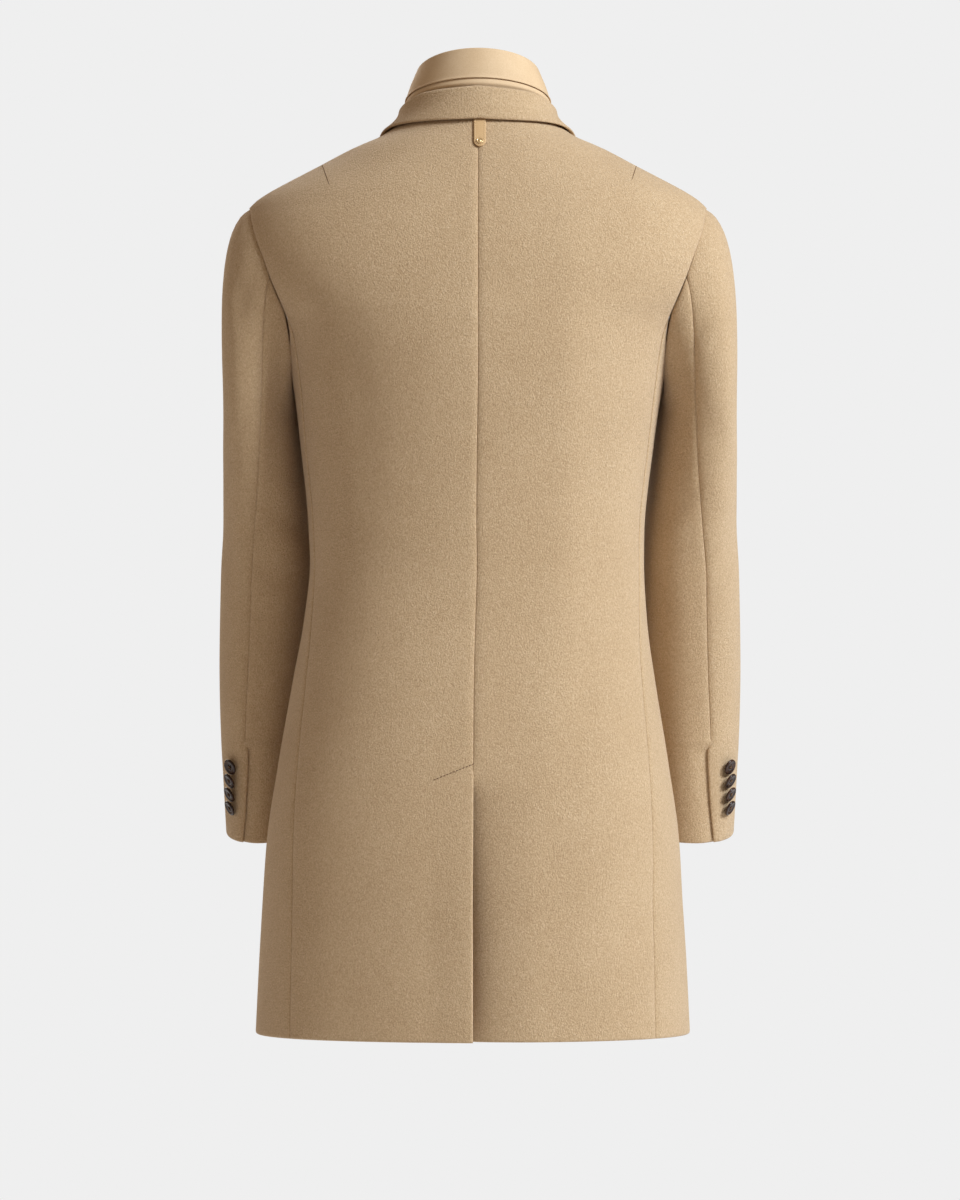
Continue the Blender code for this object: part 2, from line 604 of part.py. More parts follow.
def addTab():
    """A flat strap with a round end, laid on the centre back, bent to follow it."""
    across, along = 4, 10
    half = tabWidth / 2
    z = np.linspace(tabTop, tabFoot, along + 1)
    z[-4:] = tabFoot + half * (1 - np.sin(np.radians((0, 30, 60, 88))))
    below = np.maximum(tabFoot + half - z, 0)
    width = np.sqrt(half**2 - below**2)
    x = tabX - torso["shift"](z)[:, None] + width[:, None] * np.linspace(-1, 1, across + 1)
    zGrid = z[:, None] + 0 * x
    angle = np.arctan2(x, torso["backY"](zGrid) - (torso["backY"](zGrid) + torso["frontY"](zGrid)) / 2)
    points, normal = onTorso(zGrid, angle, seamGap + tabThick)
    addPiece(wallMesh("tab", points, points - tabThick * normal), "tab", leatherFinish)


def turnedPiece(name, profile, place, outward, material, sides=16):
    """A small turned piece: a profile of radius and height, its axis along outward."""
    mesh = bmesh.new()
    line = [mesh.verts.new((radius, 0, height)) for radius, height in profile]
    for start, end in zip(line, line[1:]):
        mesh.edges.new((start, end))
    geometry = mesh.verts[:] + mesh.edges[:]
    bmesh.ops.spin(
        mesh, geom=geometry, cent=(0, 0, 0), axis=(0, 0, 1), angle=2 * math.pi, steps=sides
    )
    bmesh.ops.remove_doubles(mesh, verts=mesh.verts, dist=1e-6)
    if mesh.calc_volume(signed=True) < 0:
        bmesh.ops.reverse_faces(mesh, faces=mesh.faces)
    made = bpy.data.meshes.new(name)
    mesh.to_mesh(made)
    mesh.free()
    piece = addPiece(made, name, material)
    turn = Vector((0, 0, 1)).rotation_difference(Vector(outward)).to_matrix().to_4x4()
    piece.matrix_world = Matrix.Translation(Vector(place)) @ turn


def buttonProfile(radius, thick):
    """Half a button's section, from the middle of its back to the middle of its dished face."""
    return (
        (0, 0), (radius * 0.80, 0), (radius, thick * 0.45), (radius * 0.92, thick),
        (radius * 0.74, thick), (radius * 0.58, thick * 0.70), (0, thick * 0.66),
    )


def sleeveSurfacePoint(grid, normals, x, z):
    """The point and normal of the sleeve's back face at this x and height."""
    backFacing = normals[..., 1] > 0.1
    cost = np.abs(grid[..., 0] - x) + np.abs(grid[..., 2] - z) + np.where(backFacing, 0, 1)
    near = np.argsort(cost.ravel())[:4]
    weights = 1 / (cost.ravel()[near] + 1e-4)
    weights /= weights.sum()
    point = (grid.reshape(-1, 3)[near] * weights[:, None]).sum(0)
    normal = unit((normals.reshape(-1, 3)[near] * weights[:, None]).sum(0))
    offset = np.array([x - point[0], 0, z - point[2]])
    offset[1] = -(offset[0] * normal[0] + offset[2] * normal[2]) / normal[1]
    return point + offset, normal


def addButtons():
    profile = buttonProfile(cuffButtonRadius, cuffButtonThick)
    for suffix, side in (("left", 1), ("right", -1)):
        grid, normals, _, _ = sleeveGrid(side)
        for i in range(4):
            z = cuffButtonTop - i * cuffButtonPitch
            point, normal = sleeveSurfacePoint(grid, normals, side * cuffButtonX, z)
            outwards = side * np.array([normal[1], -normal[0], 0])
            turn, drop = math.radians(cuffButtonTurns[i]), math.radians(cuffButtonDrops[i])
            axis = unit(normal + math.tan(turn) * outwards - math.tan(drop) * np.array([0, 0, 1]))
            lift = seamGap + cuffButtonRadius * math.sin(math.hypot(turn, drop)) + cuffButtonLifts[i]
            name = f"cuff_button_{suffix}_{i + 1}"
            turnedPiece(name, profile, point + normal * lift, axis, hornFinish)
    profile = buttonProfile(frontButtonRadius, frontButtonThick)
    for i, z in enumerate(frontButtonHeights):
        point, normal = onTorso(z, math.pi, seamGap + 0.0004)
        turnedPiece(f"front_button_{i + 1}", profile, point, normal, hornFinish)


def addStud():
    """The small plain stud near the tab's end."""
    deep = (torso["backY"](studHeight) - torso["frontY"](studHeight)) / 2
    angle = math.atan2(tabX - torso["shift"](studHeight), deep)
    point, normal = onTorso(studHeight, angle, 2 * seamGap + tabThick)
    profile = (
        (0, 0), (studRadius, 0), (studRadius * 0.9, studThick * 0.6),
        (studRadius * 0.5, studThick), (0, studThick),
    )
    turnedPiece("tab_stud", profile, point, normal, brassFinish, 20)


clearScene()
coat = bpy.data.collections.new("overcoat")
bpy.context.scene.collection.children.link(coat)
woolFinish = finish("felted wool", camel, 0.95)
bibFinish = finish("bib cloth", paleCamel, 0.85)
leatherFinish = finish("tan leather", tan, 0.55)
hornFinish = finish("dark horn", horn, 0.25)
brassFinish = finish("lacquered brass", brass, 0.4)
addBacks()
addSides()
addFronts()
addLapels()
addSleeves()
addCollar()
addBib()
addTab()
addStud()
addButtons()
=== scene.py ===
import math

import bmesh
import bpy
import numpy as np
from mathutils import Matrix, Vector


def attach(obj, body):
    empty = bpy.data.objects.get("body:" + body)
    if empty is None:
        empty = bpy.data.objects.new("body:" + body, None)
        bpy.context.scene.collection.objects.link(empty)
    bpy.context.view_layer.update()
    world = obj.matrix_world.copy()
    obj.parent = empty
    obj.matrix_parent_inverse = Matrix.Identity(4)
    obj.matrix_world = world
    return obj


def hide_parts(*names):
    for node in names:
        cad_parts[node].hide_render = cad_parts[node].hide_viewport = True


# A worn wool overcoat seen from behind. Metres, +Z up, the wearer faces -Y and +X is their left.
# Angles round the body start at the centre back and grow towards the wearer's left.

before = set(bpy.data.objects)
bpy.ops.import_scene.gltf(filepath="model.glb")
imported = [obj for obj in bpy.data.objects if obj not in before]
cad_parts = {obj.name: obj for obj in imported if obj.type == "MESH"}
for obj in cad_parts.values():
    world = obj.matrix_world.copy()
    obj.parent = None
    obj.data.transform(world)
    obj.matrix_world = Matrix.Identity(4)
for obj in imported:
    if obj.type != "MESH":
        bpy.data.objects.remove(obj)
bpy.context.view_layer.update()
print("frame loaded")


# Curves and rings

def smoothCurve(knots, values):     # monotone cubic, so nothing overshoots
    steps = np.diff(knots)
    rises = np.diff(values) / steps
    slopes = np.zeros(len(knots))
    slopes[0], slopes[-1] = rises[0], rises[-1]
    both = rises[:-1] * rises[1:]
    slopes[1:-1] = np.where(both > 0, 2 * both / np.where(both > 0, rises[:-1] + rises[1:], 1), 0)

    def value(at):
        at = np.clip(at, knots[0], knots[-1])
        i = np.clip(np.searchsorted(knots, at, side="right") - 1, 0, len(steps) - 1)
        t = (at - knots[i]) / steps[i]
        start = (1 + 2 * t) * (1 - t) ** 2 * values[i] + t * (1 - t) ** 2 * steps[i] * slopes[i]
        end = t * t * (3 - 2 * t) * values[i + 1] + t * t * (t - 1) * steps[i] * slopes[i + 1]
        return start + end

    return value


def readTable(columns, rows):       # each column as a curve of the first
    table = np.array(rows, float)
    return {name: smoothCurve(table[:, 0], table[:, i]) for i, name in enumerate(columns)}


def ease(at, start, end):           # 0 before start, 1 past end
    t = np.clip((at - start) / (end - start), 0, 1)
    return t * t * (3 - 2 * t)


def unit(vectors):
    return vectors / np.linalg.norm(vectors, axis=-1, keepdims=True)


def ringDrop(angle, side, front):   # a ring lies lower at the sides and the front
    share = (1 - np.cos(angle)) / 2
    return (4 * side - front) * share + (2 * front - 4 * side) * share**2


plainRing = {"power": 2.0, "shift": 0.002}     # for a ring whose table leaves these out


def ringPoint(ring, z, angle):
    across = ring["halfWidth"](z)
    deep = (ring["backY"](z) - ring["frontY"](z)) / 2
    middle = (ring["backY"](z) + ring["frontY"](z)) / 2
    power = ring["power"](z) if "power" in ring else plainRing["power"]
    shift = ring["shift"](z) if "shift" in ring else plainRing["shift"]
    sine, cosine = np.sin(angle), np.cos(angle)
    reach = (np.abs(sine / across) ** power + np.abs(cosine / deep) ** power) ** (-1 / power)
    drop = ringDrop(angle, ring["sideDrop"](z), ring["frontDrop"](z))
    return np.stack([shift + reach * sine, middle + reach * cosine, z - drop], axis=-1)


def ringNormal(ring, z, angle, low, high):
    small = 1e-4
    around = ringPoint(ring, z, angle + small) - ringPoint(ring, z, angle - small)
    above, below = np.minimum(z + small, high), np.maximum(z - small, low)
    return unit(np.cross(ringPoint(ring, above, angle) - ringPoint(ring, below, angle), around))


# The body's form, from the hem up: half width, back and front reach, how square the ring is,
# how far it drops at the sides and the front, and its shift to the wearer's left

body = {
    "columns": ("z", "halfWidth", "backY", "frontY", "power", "sideDrop", "frontDrop", "shift"),
    "rows": (
        (-0.9150, 0.2170, 0.146, -0.143, 2.30, 0.0000, 0.000, 0.0072),
        (-0.8400, 0.2133, 0.144, -0.141, 2.30, 0.0000, 0.000, 0.0072),
        (-0.7830, 0.2098, 0.142, -0.139, 2.30, 0.0000, 0.000, 0.0074),
        (-0.7230, 0.2060, 0.139, -0.137, 2.30, 0.0000, 0.000, 0.0070),
        (-0.6430, 0.1945, 0.133, -0.133, 2.30, 0.0000, 0.000, 0.0066),
        (-0.5630, 0.1810, 0.124, -0.128, 2.30, 0.0000, 0.000, 0.0060),
        (-0.5030, 0.1715, 0.117, -0.124, 2.30, 0.0000, 0.000, 0.0045),
        (-0.4450, 0.1670, 0.114, -0.122, 2.30, 0.0000, 0.000, 0.0030),
        (-0.4100, 0.1680, 0.115, -0.123, 2.30, 0.0000, 0.000, 0.0035),
        (-0.3330, 0.1760, 0.121, -0.129, 2.30, 0.0000, 0.000, 0.0030),
        (-0.2620, 0.1860, 0.128, -0.134, 2.30, 0.0000, 0.000, 0.0020),
        (-0.2220, 0.1955, 0.130, -0.136, 2.30, 0.0000, 0.000, 0.0020),
        (-0.2010, 0.2060, 0.130, -0.136, 2.25, 0.0000, 0.000, 0.0020),
        (-0.1840, 0.2210, 0.128, -0.136, 2.25, 0.0000, 0.000, 0.0020),
        (-0.1650, 0.2330, 0.126, -0.135, 2.25, 0.0000, 0.000, 0.0020),
        (-0.1440, 0.2395, 0.123, -0.134, 2.25, 0.0000, 0.000, 0.0020),
        (-0.1240, 0.2415, 0.118, -0.132, 2.25, 0.0000, 0.001, 0.0020),
        (-0.1080, 0.2375, 0.113, -0.129, 2.25, 0.0000, 0.003, 0.0020),
        (-0.0970, 0.2330, 0.109, -0.126, 2.22, 0.0005, 0.005, 0.0020),
        (-0.0905, 0.2290, 0.1065, -0.124, 2.20, 0.0010, 0.007, 0.0020),
        (-0.0835, 0.2225, 0.104, -0.122, 2.20, 0.0015, 0.010, 0.0020),
        (-0.0745, 0.2105, 0.1005, -0.120, 2.20, 0.0025, 0.016, 0.0020),
        (-0.0655, 0.1955, 0.096, -0.118, 2.20, 0.0035, 0.022, 0.0020),
        (-0.0475, 0.1630, 0.087, -0.112, 2.18, 0.0055, 0.035, 0.0020),
        (-0.0290, 0.1290, 0.077, -0.103, 2.15, 0.0080, 0.050, 0.0020),
        (-0.0192, 0.1050, 0.071, -0.096, 2.10, 0.0098, 0.060, 0.0020),
        (-0.0085, 0.0880, 0.0655, -0.088, 2.05, 0.0110, 0.066, 0.0020),
        (0.0000, 0.0755, 0.061, -0.080, 2.00, 0.0124, 0.070, 0.0020),
    ),
    "armhole": (    # z, x
        (-0.2010, 0.1915), (-0.1840, 0.1985), (-0.1650, 0.2065), (-0.1440, 0.2140),
        (-0.1240, 0.2215), (-0.1080, 0.2260), (-0.0970, 0.2278), (-0.0905, 0.2290),
    ),
    "sideSeam": (   # z, share of the half width
        (-0.915, 0.834), (-0.790, 0.850), (-0.715, 0.869), (-0.653, 0.894), (-0.549, 0.931),
        (-0.500, 0.955), (-0.445, 0.970), (-0.350, 0.970), (-0.260, 0.955), (-0.201, 0.9296),
    ),
    "frontEdge": (  # z, x
        (-0.915, -0.020), (-0.340, -0.020), (-0.325, -0.017), (-0.300, 0.000),
        (-0.200, 0.022), (-0.100, 0.044), (0.000, 0.0575),
    ),
    "hem": -0.915, "kink": -0.201, "armpit": -0.262, "shoulder": -0.0905,
}

cloth = {
    "wool": 0.0027,         # melton, about 600 g a square metre
    "bib": 0.0015,
    "step": 0.0052,         # usual size of a mesh cell
    "edgeSteps": (0, 0.0002, 0.0006, 0.0012, 0.0020, 0.0032, 0.0050, 0.0080),
    "seamRadius": 0.0015,   # how softly cloth rolls into a seam
    "seamDip": 0.0010,      # how far a pressed seam lies below the panel
    "dipWidth": 0.0034,
    "freeRadius": 0.0026,   # of hems and other turned edges
    "rim": 0.08,            # share of the wall that is left at its very edge
    "tuck": 0.0003,         # pieces meet this far inside each seam
    "gap": 0.0003,          # between a trim and what it lies on
    "leastRow": 0.0012,     # no two rows of a mesh are closer, but for rolled edges
    "far": 0.05,            # a distance past every roll and dip
}

vent = {
    "top": -0.645, "lap": 0.040, "lapColumns": 8,
    "reach": 0.14,          # from the body's middle line to the back at the vent
    "opens": 0.004,         # half the height over which the sewn seam opens
    "taper": 0.045,         # height over which the right half begins to sink
    "hollow": 0.065,        # width over which the right half sinks under the left
    "steep": 0.013,         # how fast it falls away right beside the edge
    "sink": 0.0096,
    "deepen": 0.0070,       # more sinking towards the hem
    "keel": 0.0115,         # how far the left half stands out at its edge
    "roll": 0.48, "rollReach": 0.046,       # the share that falls away close to the edge
    "keelAt": 0.022, "keelReach": 0.130,    # where the rest falls away
}

torso = readTable(body["columns"], body["rows"])
armhole = smoothCurve(*np.array(body["armhole"]).T)
sideSeam = smoothCurve(*np.array(body["sideSeam"]).T)
frontEdge = smoothCurve(*np.array(body["frontEdge"]).T)


def onTorso(z, angle, out=0.0):
    z, angle = np.broadcast_arrays(np.asarray(z, float), np.asarray(angle, float))
    normal = ringNormal(torso, z, angle, body["rows"][0][0], body["rows"][-1][0])
    return ringPoint(torso, z, angle) + normal * np.asarray(out)[..., None], normal


def angleAtShare(z, share):
    power = torso["power"](z)
    deep = (torso["backY"](z) - torso["frontY"](z)) / 2
    share = np.clip(share, -1, 1)
    y = deep * (1 - np.abs(share) ** power) ** (1 / power)
    return np.arctan2(share * torso["halfWidth"](z), y)


def armholeAngle(z):
    return angleAtShare(z, armhole(z) / torso["halfWidth"](z))


def outerEdgeAngle(z):              # side seam, then armhole, then shoulder seam
    upper = np.where(z < body["shoulder"] - 1e-9, armholeAngle(np.clip(z, body["kink"], 0)), math.pi / 2)
    return np.where(z <= body["kink"], angleAtShare(z, sideSeam(z)), upper)


def frontEdgeAngle(z):
    return math.pi - angleAtShare(z, frontEdge(z) / torso["halfWidth"](z))


# Mesh making

def placesAlong(length, step, first=True, last=True):
    # distances along lines of these lengths, close together at each end that is rolled
    length = np.asarray(length, float)[:, None]
    near = np.array(cloth["edgeSteps"])
    squeeze = np.minimum(1, length / (2.5 * near[-1]))     # leaves a middle between two rolled ends
    head = squeeze * (near if first else near[:1])
    tail = squeeze * (near if last else near[:1])
    count = max(2, math.ceil(float(np.mean(length - head[:, -1:] - tail[:, -1:])) / step))
    share = np.linspace(0, 1, count + 1)[1:-1]
    middle = head[:, -1:] + (length - head[:, -1:] - tail[:, -1:]) * share
    return np.concatenate([head, middle, length - tail[:, ::-1]], axis=1)


def runAlong(points):               # how far each point lies along its row
    steps = np.linalg.norm(np.diff(points, axis=1), axis=2)
    return np.concatenate([np.zeros((len(points), 1)), np.cumsum(steps, axis=1)], axis=1)


def panelMesh(name, outer, inner, kept=None):
    rows, columns = outer.shape[:2]
    kept = np.ones((rows - 1, columns - 1), bool) if kept is None else kept
    index = np.arange(rows * columns).reshape(rows, columns)
    corners = np.stack([index[:-1, :-1], index[:-1, 1:], index[1:, 1:], index[1:, :-1]], axis=-1)
    front = corners[kept]
    back = front[:, ::-1] + rows * columns
    wide = np.zeros((rows + 1, columns + 1), bool)
    wide[1:-1, 1:-1] = kept
    rims = []
    for k, (di, dj) in enumerate(((-1, 0), (0, 1), (1, 0), (0, -1))):
        edge = kept & ~wide[1 + di:rows + di, 1 + dj:columns + dj]
        a, b = corners[edge][:, k], corners[edge][:, (k + 1) % 4]
        rims.append(np.stack([b, a, a + rows * columns, b + rows * columns], axis=-1))
    faces = np.concatenate([front, back, *rims])
    points = np.concatenate([outer.reshape(-1, 3), inner.reshape(-1, 3)])
    used = np.unique(faces)
    faces = np.searchsorted(used, faces)
    points = points[used]
    quads = points[faces]
    if np.einsum("ij,ij->", quads[:, 0], np.cross(quads[:, 1], quads[:, 2])) < 0:
        faces = faces[:, ::-1]
    made = bpy.data.meshes.new(name)
    made.from_pydata(points.tolist(), [], faces.tolist())
    made.update()
    made.shade_smooth()
    return made


def addPiece(mesh, name, material, nodes=()):
    piece = bpy.data.objects.new(name, mesh)
    bpy.context.scene.collection.objects.link(piece)
    mesh.materials.append(material)
    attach(piece, "root")
    if nodes:
        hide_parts(*nodes)
    return piece


def addCloth(name, points, normals, edges, material, nodes, thick=cloth["wool"], kept=None):
    # a wall of cloth: edges lists how far each point is from an edge, that edge's radius and dip
    roll = np.ones(points.shape[:2])
    dip = np.zeros(points.shape[:2])
    for distance, radius, sink in edges:
        near = np.clip(distance / radius, 0, 1)
        roll = roll * np.sqrt(np.maximum(1 - (1 - near) ** 2, 0))
        dip = dip + sink * np.exp(-(np.maximum(distance, 0) / cloth["dipWidth"]) ** 2)
    roll = np.maximum(roll, cloth["rim"])
    outer = points - normals * (thick / 2 * (1 - roll) + dip)[..., None]
    inner = points - normals * (thick / 2 * (1 + roll) + dip)[..., None]
    return addPiece(panelMesh(name, outer, inner, kept), name, material, nodes)


def foldLift(points, normals, folds, face):
    # soft troughs and ridges: place, length, turn from upright, width, height and bend
    lift = np.zeros(points.shape[:2])
    for x, z, length, turn, width, height, bend in folds:
        turn = math.radians(turn)
        dx, dz = points[..., 0] - x, points[..., 2] - z
        along = dx * math.sin(turn) + dz * math.cos(turn)
        across = dx * math.cos(turn) - dz * math.sin(turn) + bend * along**2
        fade = np.clip(1 - (2 * along / length) ** 2, 0, 1) ** 1.5
        lift += height * np.exp(-(across / width) ** 2) * fade
    return lift * ease(face * normals[..., 1], -0.05, 0.3)      # only where the cloth faces that way


# Materials

def linear(hexColour):
    parts = [int(hexColour[i:i + 2], 16) / 255 for i in (1, 3, 5)]
    return tuple(p / 12.92 if p <= 0.04045 else ((p + 0.055) / 1.055) ** 2.4 for p in parts) + (1,)


def addNode(tree, kind, settings, links=()):
    made = tree.nodes.new(kind)
    for key, value in settings.items():
        if isinstance(key, str) and hasattr(made, key):
            setattr(made, key, value)
        else:
            made.inputs[key].default_value = value
    for key, socket in dict(links).items():
        tree.links.new(socket, made.inputs[key])
    return made


def newMaterial(name):
    material = bpy.data.materials.new(name)
    material.use_nodes = True
    material.node_tree.nodes.clear()
    return material, material.node_tree


wool = {
    "shade": "#ae906c", "main": "#c2a480", "tip": "#d8be9b",    # camel, dyed in the fleece
    "napSize": 0.0014,      # milled nap, drawn coarser than its 0.5 mm so that it shows
    "fibreSize": 0.0009,    # brushed fibre tips, drawn coarser than their 0.1 mm
    "cloudSize": 0.080,     # uneven dye, a hand's width across
    "napHeight": 0.0030,
    "fibreHeight": 0.0020,
    "roughness": 0.95,
    "sheen": 0.30, "sheenRoughness": 0.5, "sheenTint": "#f6ece0",
}


def feltedWool():
    # melton wool, woven then milled and brushed: pebbly nap hides the weave, pale fibre tips
    material, tree = newMaterial("feltedWoolMelton")
    place = addNode(tree, "ShaderNodeTexCoord", {})
    grain = addNode(tree, "ShaderNodeMapping", {"Scale": (1, 1, 0.72)}, {0: place.outputs["Object"]})
    nap = addNode(tree, "ShaderNodeTexNoise", {
        "Scale": 1 / wool["napSize"], "Detail": 3.0, "Roughness": 0.62, "Distortion": 0.35,
    }, {"Vector": grain.outputs[0]})
    fibre = addNode(tree, "ShaderNodeTexNoise", {
        "Scale": 1 / wool["fibreSize"], "Detail": 2.0, "Roughness": 0.7, "Distortion": 0.9,
    }, {"Vector": grain.outputs[0]})
    cloud = addNode(tree, "ShaderNodeTexNoise", {
        "Scale": 1 / wool["cloudSize"], "Detail": 2.0, "Roughness": 0.5,
    }, {"Vector": place.outputs["Object"]})
    both = addNode(tree, "ShaderNodeMix", {"data_type": "FLOAT", 0: 0.4},
                   {2: nap.outputs["Fac"], 3: fibre.outputs["Fac"]})
    blotch = addNode(tree, "ShaderNodeMath", {"operation": "MULTIPLY_ADD", 1: 0.10, 2: -0.05},
                     {0: cloud.outputs["Fac"]})
    level = addNode(tree, "ShaderNodeMath", {"operation": "ADD"},
                    {0: both.outputs[0], 1: blotch.outputs[0]})
    colour = addNode(tree, "ShaderNodeValToRGB", {}, {0: level.outputs[0]})
    ramp = colour.color_ramp
    ramp.elements[0].position, ramp.elements[0].color = 0.34, linear(wool["shade"])
    ramp.elements[1].position, ramp.elements[1].color = 0.68, linear(wool["tip"])
    ramp.elements.new(0.50).color = linear(wool["main"])
    low = addNode(tree, "ShaderNodeBump", {"Strength": 0.55, "Distance": wool["napHeight"]},
                  {"Height": nap.outputs["Fac"]})
    high = addNode(tree, "ShaderNodeBump", {"Strength": 0.45, "Distance": wool["fibreHeight"]},
                   {"Height": fibre.outputs["Fac"], "Normal": low.outputs[0]})
    surface = addNode(tree, "ShaderNodeBsdfPrincipled", {
        "Roughness": wool["roughness"], "Metallic": 0.0, "IOR": 1.5, "Specular IOR Level": 0.15,
        "Sheen Weight": wool["sheen"], "Sheen Roughness": wool["sheenRoughness"],
        "Sheen Tint": linear(wool["sheenTint"]),
    }, {"Base Color": colour.outputs[0], "Normal": high.outputs[0]})
    addNode(tree, "ShaderNodeOutputMaterial", {}, {0: surface.outputs[0]})
    return material


bibCloth = {
    "shade": "#c0a27f", "main": "#cbae8a", "tip": "#d5ba98",
    "twillSize": 0.0011,    # threads, drawn coarser than their 0.4 mm
    "cloudSize": 0.040, "height": 0.00035,
    "roughness": 0.72, "sheen": 0.35, "sheenTint": "#f6e8d2",
}


def brushedTwill():
    # wool and cotton twill, woven and singed: smoother and a little brighter than the melton
    material, tree = newMaterial("wovenWoolTwill")
    place = addNode(tree, "ShaderNodeTexCoord", {})
    thread = addNode(tree, "ShaderNodeTexNoise", {
        "Scale": 1 / bibCloth["twillSize"], "Detail": 2.0, "Roughness": 0.6,
    }, {"Vector": place.outputs["Object"]})
    cloud = addNode(tree, "ShaderNodeTexNoise", {
        "Scale": 1 / bibCloth["cloudSize"], "Detail": 2.0,
    }, {"Vector": place.outputs["Object"]})
    both = addNode(tree, "ShaderNodeMix", {"data_type": "FLOAT", 0: 0.5},
                   {2: thread.outputs["Fac"], 3: cloud.outputs["Fac"]})
    colour = addNode(tree, "ShaderNodeValToRGB", {}, {0: both.outputs[0]})
    ramp = colour.color_ramp
    ramp.elements[0].position, ramp.elements[0].color = 0.30, linear(bibCloth["shade"])
    ramp.elements[1].position, ramp.elements[1].color = 0.72, linear(bibCloth["tip"])
    ramp.elements.new(0.50).color = linear(bibCloth["main"])
    weave = addNode(tree, "ShaderNodeBump", {"Strength": 0.35, "Distance": bibCloth["height"]},
                    {"Height": thread.outputs["Fac"]})
    surface = addNode(tree, "ShaderNodeBsdfPrincipled", {
        "Roughness": bibCloth["roughness"], "Metallic": 0.0, "IOR": 1.5, "Specular IOR Level": 0.25,
        "Sheen Weight": bibCloth["sheen"], "Sheen Roughness": 0.4,
        "Sheen Tint": linear(bibCloth["sheenTint"]),
    }, {"Base Color": colour.outputs[0], "Normal": weave.outputs[0]})
    addNode(tree, "ShaderNodeOutputMaterial", {}, {0: surface.outputs[0]})
    return material


leather = {
    "main": "#cfac7f", "dark": "#bb976a",
    "grain": 0.0009,        # pores, drawn coarser than their 0.2 mm
    "height": 0.0002, "roughness": 0.5,
}
horn = {
    "main": "#26150f", "streak": "#4e3224",
    "size": 0.006,          # between streaks across a button
    "roughness": 0.27,
}
sewingThread = {    # spun polyester: matt, a little fuzzy
    "colour": "#674b30", "roughness": 0.8, "metallic": 0.0, "grain": 0.0004, "height": 0.0001,
}
linenThread = {     # waxed linen, twisted: pale and smoother
    "colour": "#d9bd93", "roughness": 0.7, "metallic": 0.0, "grain": 0.0004, "height": 0.0001,
}
studMetal = {       # stamped brass under a lacquer that mutes it: a soft warm shine
    "colour": "#d8b888", "roughness": 0.32, "metallic": 0.6, "grain": 0.0010, "height": 0.0001,
}


def tanLeather():
    # calf leather, tanned and lightly sanded: fine pores and a soft shine
    material, tree = newMaterial("tannedCalfLeather")
    place = addNode(tree, "ShaderNodeTexCoord", {})
    pores = addNode(tree, "ShaderNodeTexVoronoi", {"Scale": 1 / leather["grain"]},
                    {"Vector": place.outputs["Object"]})
    colour = addNode(tree, "ShaderNodeMix", {
        "data_type": "RGBA", 6: linear(leather["dark"]), 7: linear(leather["main"]),
    }, {0: pores.outputs["Distance"]})
    skin = addNode(tree, "ShaderNodeBump", {"Strength": 0.4, "Distance": leather["height"]},
                   {"Height": pores.outputs["Distance"]})
    surface = addNode(tree, "ShaderNodeBsdfPrincipled", {
        "Roughness": leather["roughness"], "Metallic": 0.0, "IOR": 1.45,
    }, {"Base Color": colour.outputs[2], "Normal": skin.outputs[0]})
    addNode(tree, "ShaderNodeOutputMaterial", {}, {0: surface.outputs[0]})
    return material


def polishedHorn():
    # buffalo horn, turned and polished: near black brown with paler streaks, wet shine
    material, tree = newMaterial("polishedBuffaloHorn")
    place = addNode(tree, "ShaderNodeTexCoord", {})
    stretch = addNode(tree, "ShaderNodeMapping", {"Scale": (1, 1, 0.35), "Rotation": (0.5, 0.3, 0.4)},
                      {0: place.outputs["Object"]})
    streaks = addNode(tree, "ShaderNodeTexNoise", {
        "Scale": 1 / horn["size"], "Detail": 5.0, "Roughness": 0.6, "Distortion": 1.2,
    }, {"Vector": stretch.outputs[0]})
    colour = addNode(tree, "ShaderNodeValToRGB", {}, {0: streaks.outputs["Fac"]})
    ramp = colour.color_ramp
    ramp.elements[0].position, ramp.elements[0].color = 0.45, linear(horn["main"])
    ramp.elements[1].position, ramp.elements[1].color = 0.75, linear(horn["streak"])
    surface = addNode(tree, "ShaderNodeBsdfPrincipled", {
        "Roughness": horn["roughness"], "Metallic": 0.0, "IOR": 1.54,
        "Specular IOR Level": 0.3, "Coat Weight": 0.12, "Coat Roughness": 0.08,
    }, {"Base Color": colour.outputs[0]})
    addNode(tree, "ShaderNodeOutputMaterial", {}, {0: surface.outputs[0]})
    return material


def plainFinish(name, finish):
    # small parts: fine noise breaks up the shine
    material, tree = newMaterial(name)
    place = addNode(tree, "ShaderNodeTexCoord", {})
    grit = addNode(tree, "ShaderNodeTexNoise", {"Scale": 1 / finish["grain"], "Detail": 3.0},
                   {"Vector": place.outputs["Object"]})
    bump = addNode(tree, "ShaderNodeBump", {"Strength": 0.4, "Distance": finish["height"]},
                   {"Height": grit.outputs["Fac"]})
    surface = addNode(tree, "ShaderNodeBsdfPrincipled", {
        "Base Color": linear(finish["colour"]), "Roughness": finish["roughness"],
        "Metallic": finish["metallic"],
    }, {"Normal": bump.outputs[0]})
    addNode(tree, "ShaderNodeOutputMaterial", {}, {0: surface.outputs[0]})
    return material


woolFinish = feltedWool()
bibFinish = brushedTwill()
leatherFinish = tanLeather()
hornFinish = polishedHorn()
threadFinish = plainFinish("spunPolyesterThread", sewingThread)
paleThread = plainFinish("waxedLinenThread", linenThread)
studFinish = plainFinish("lacqueredBrass", studMetal)
print("materials made")


# Back, side and front panels

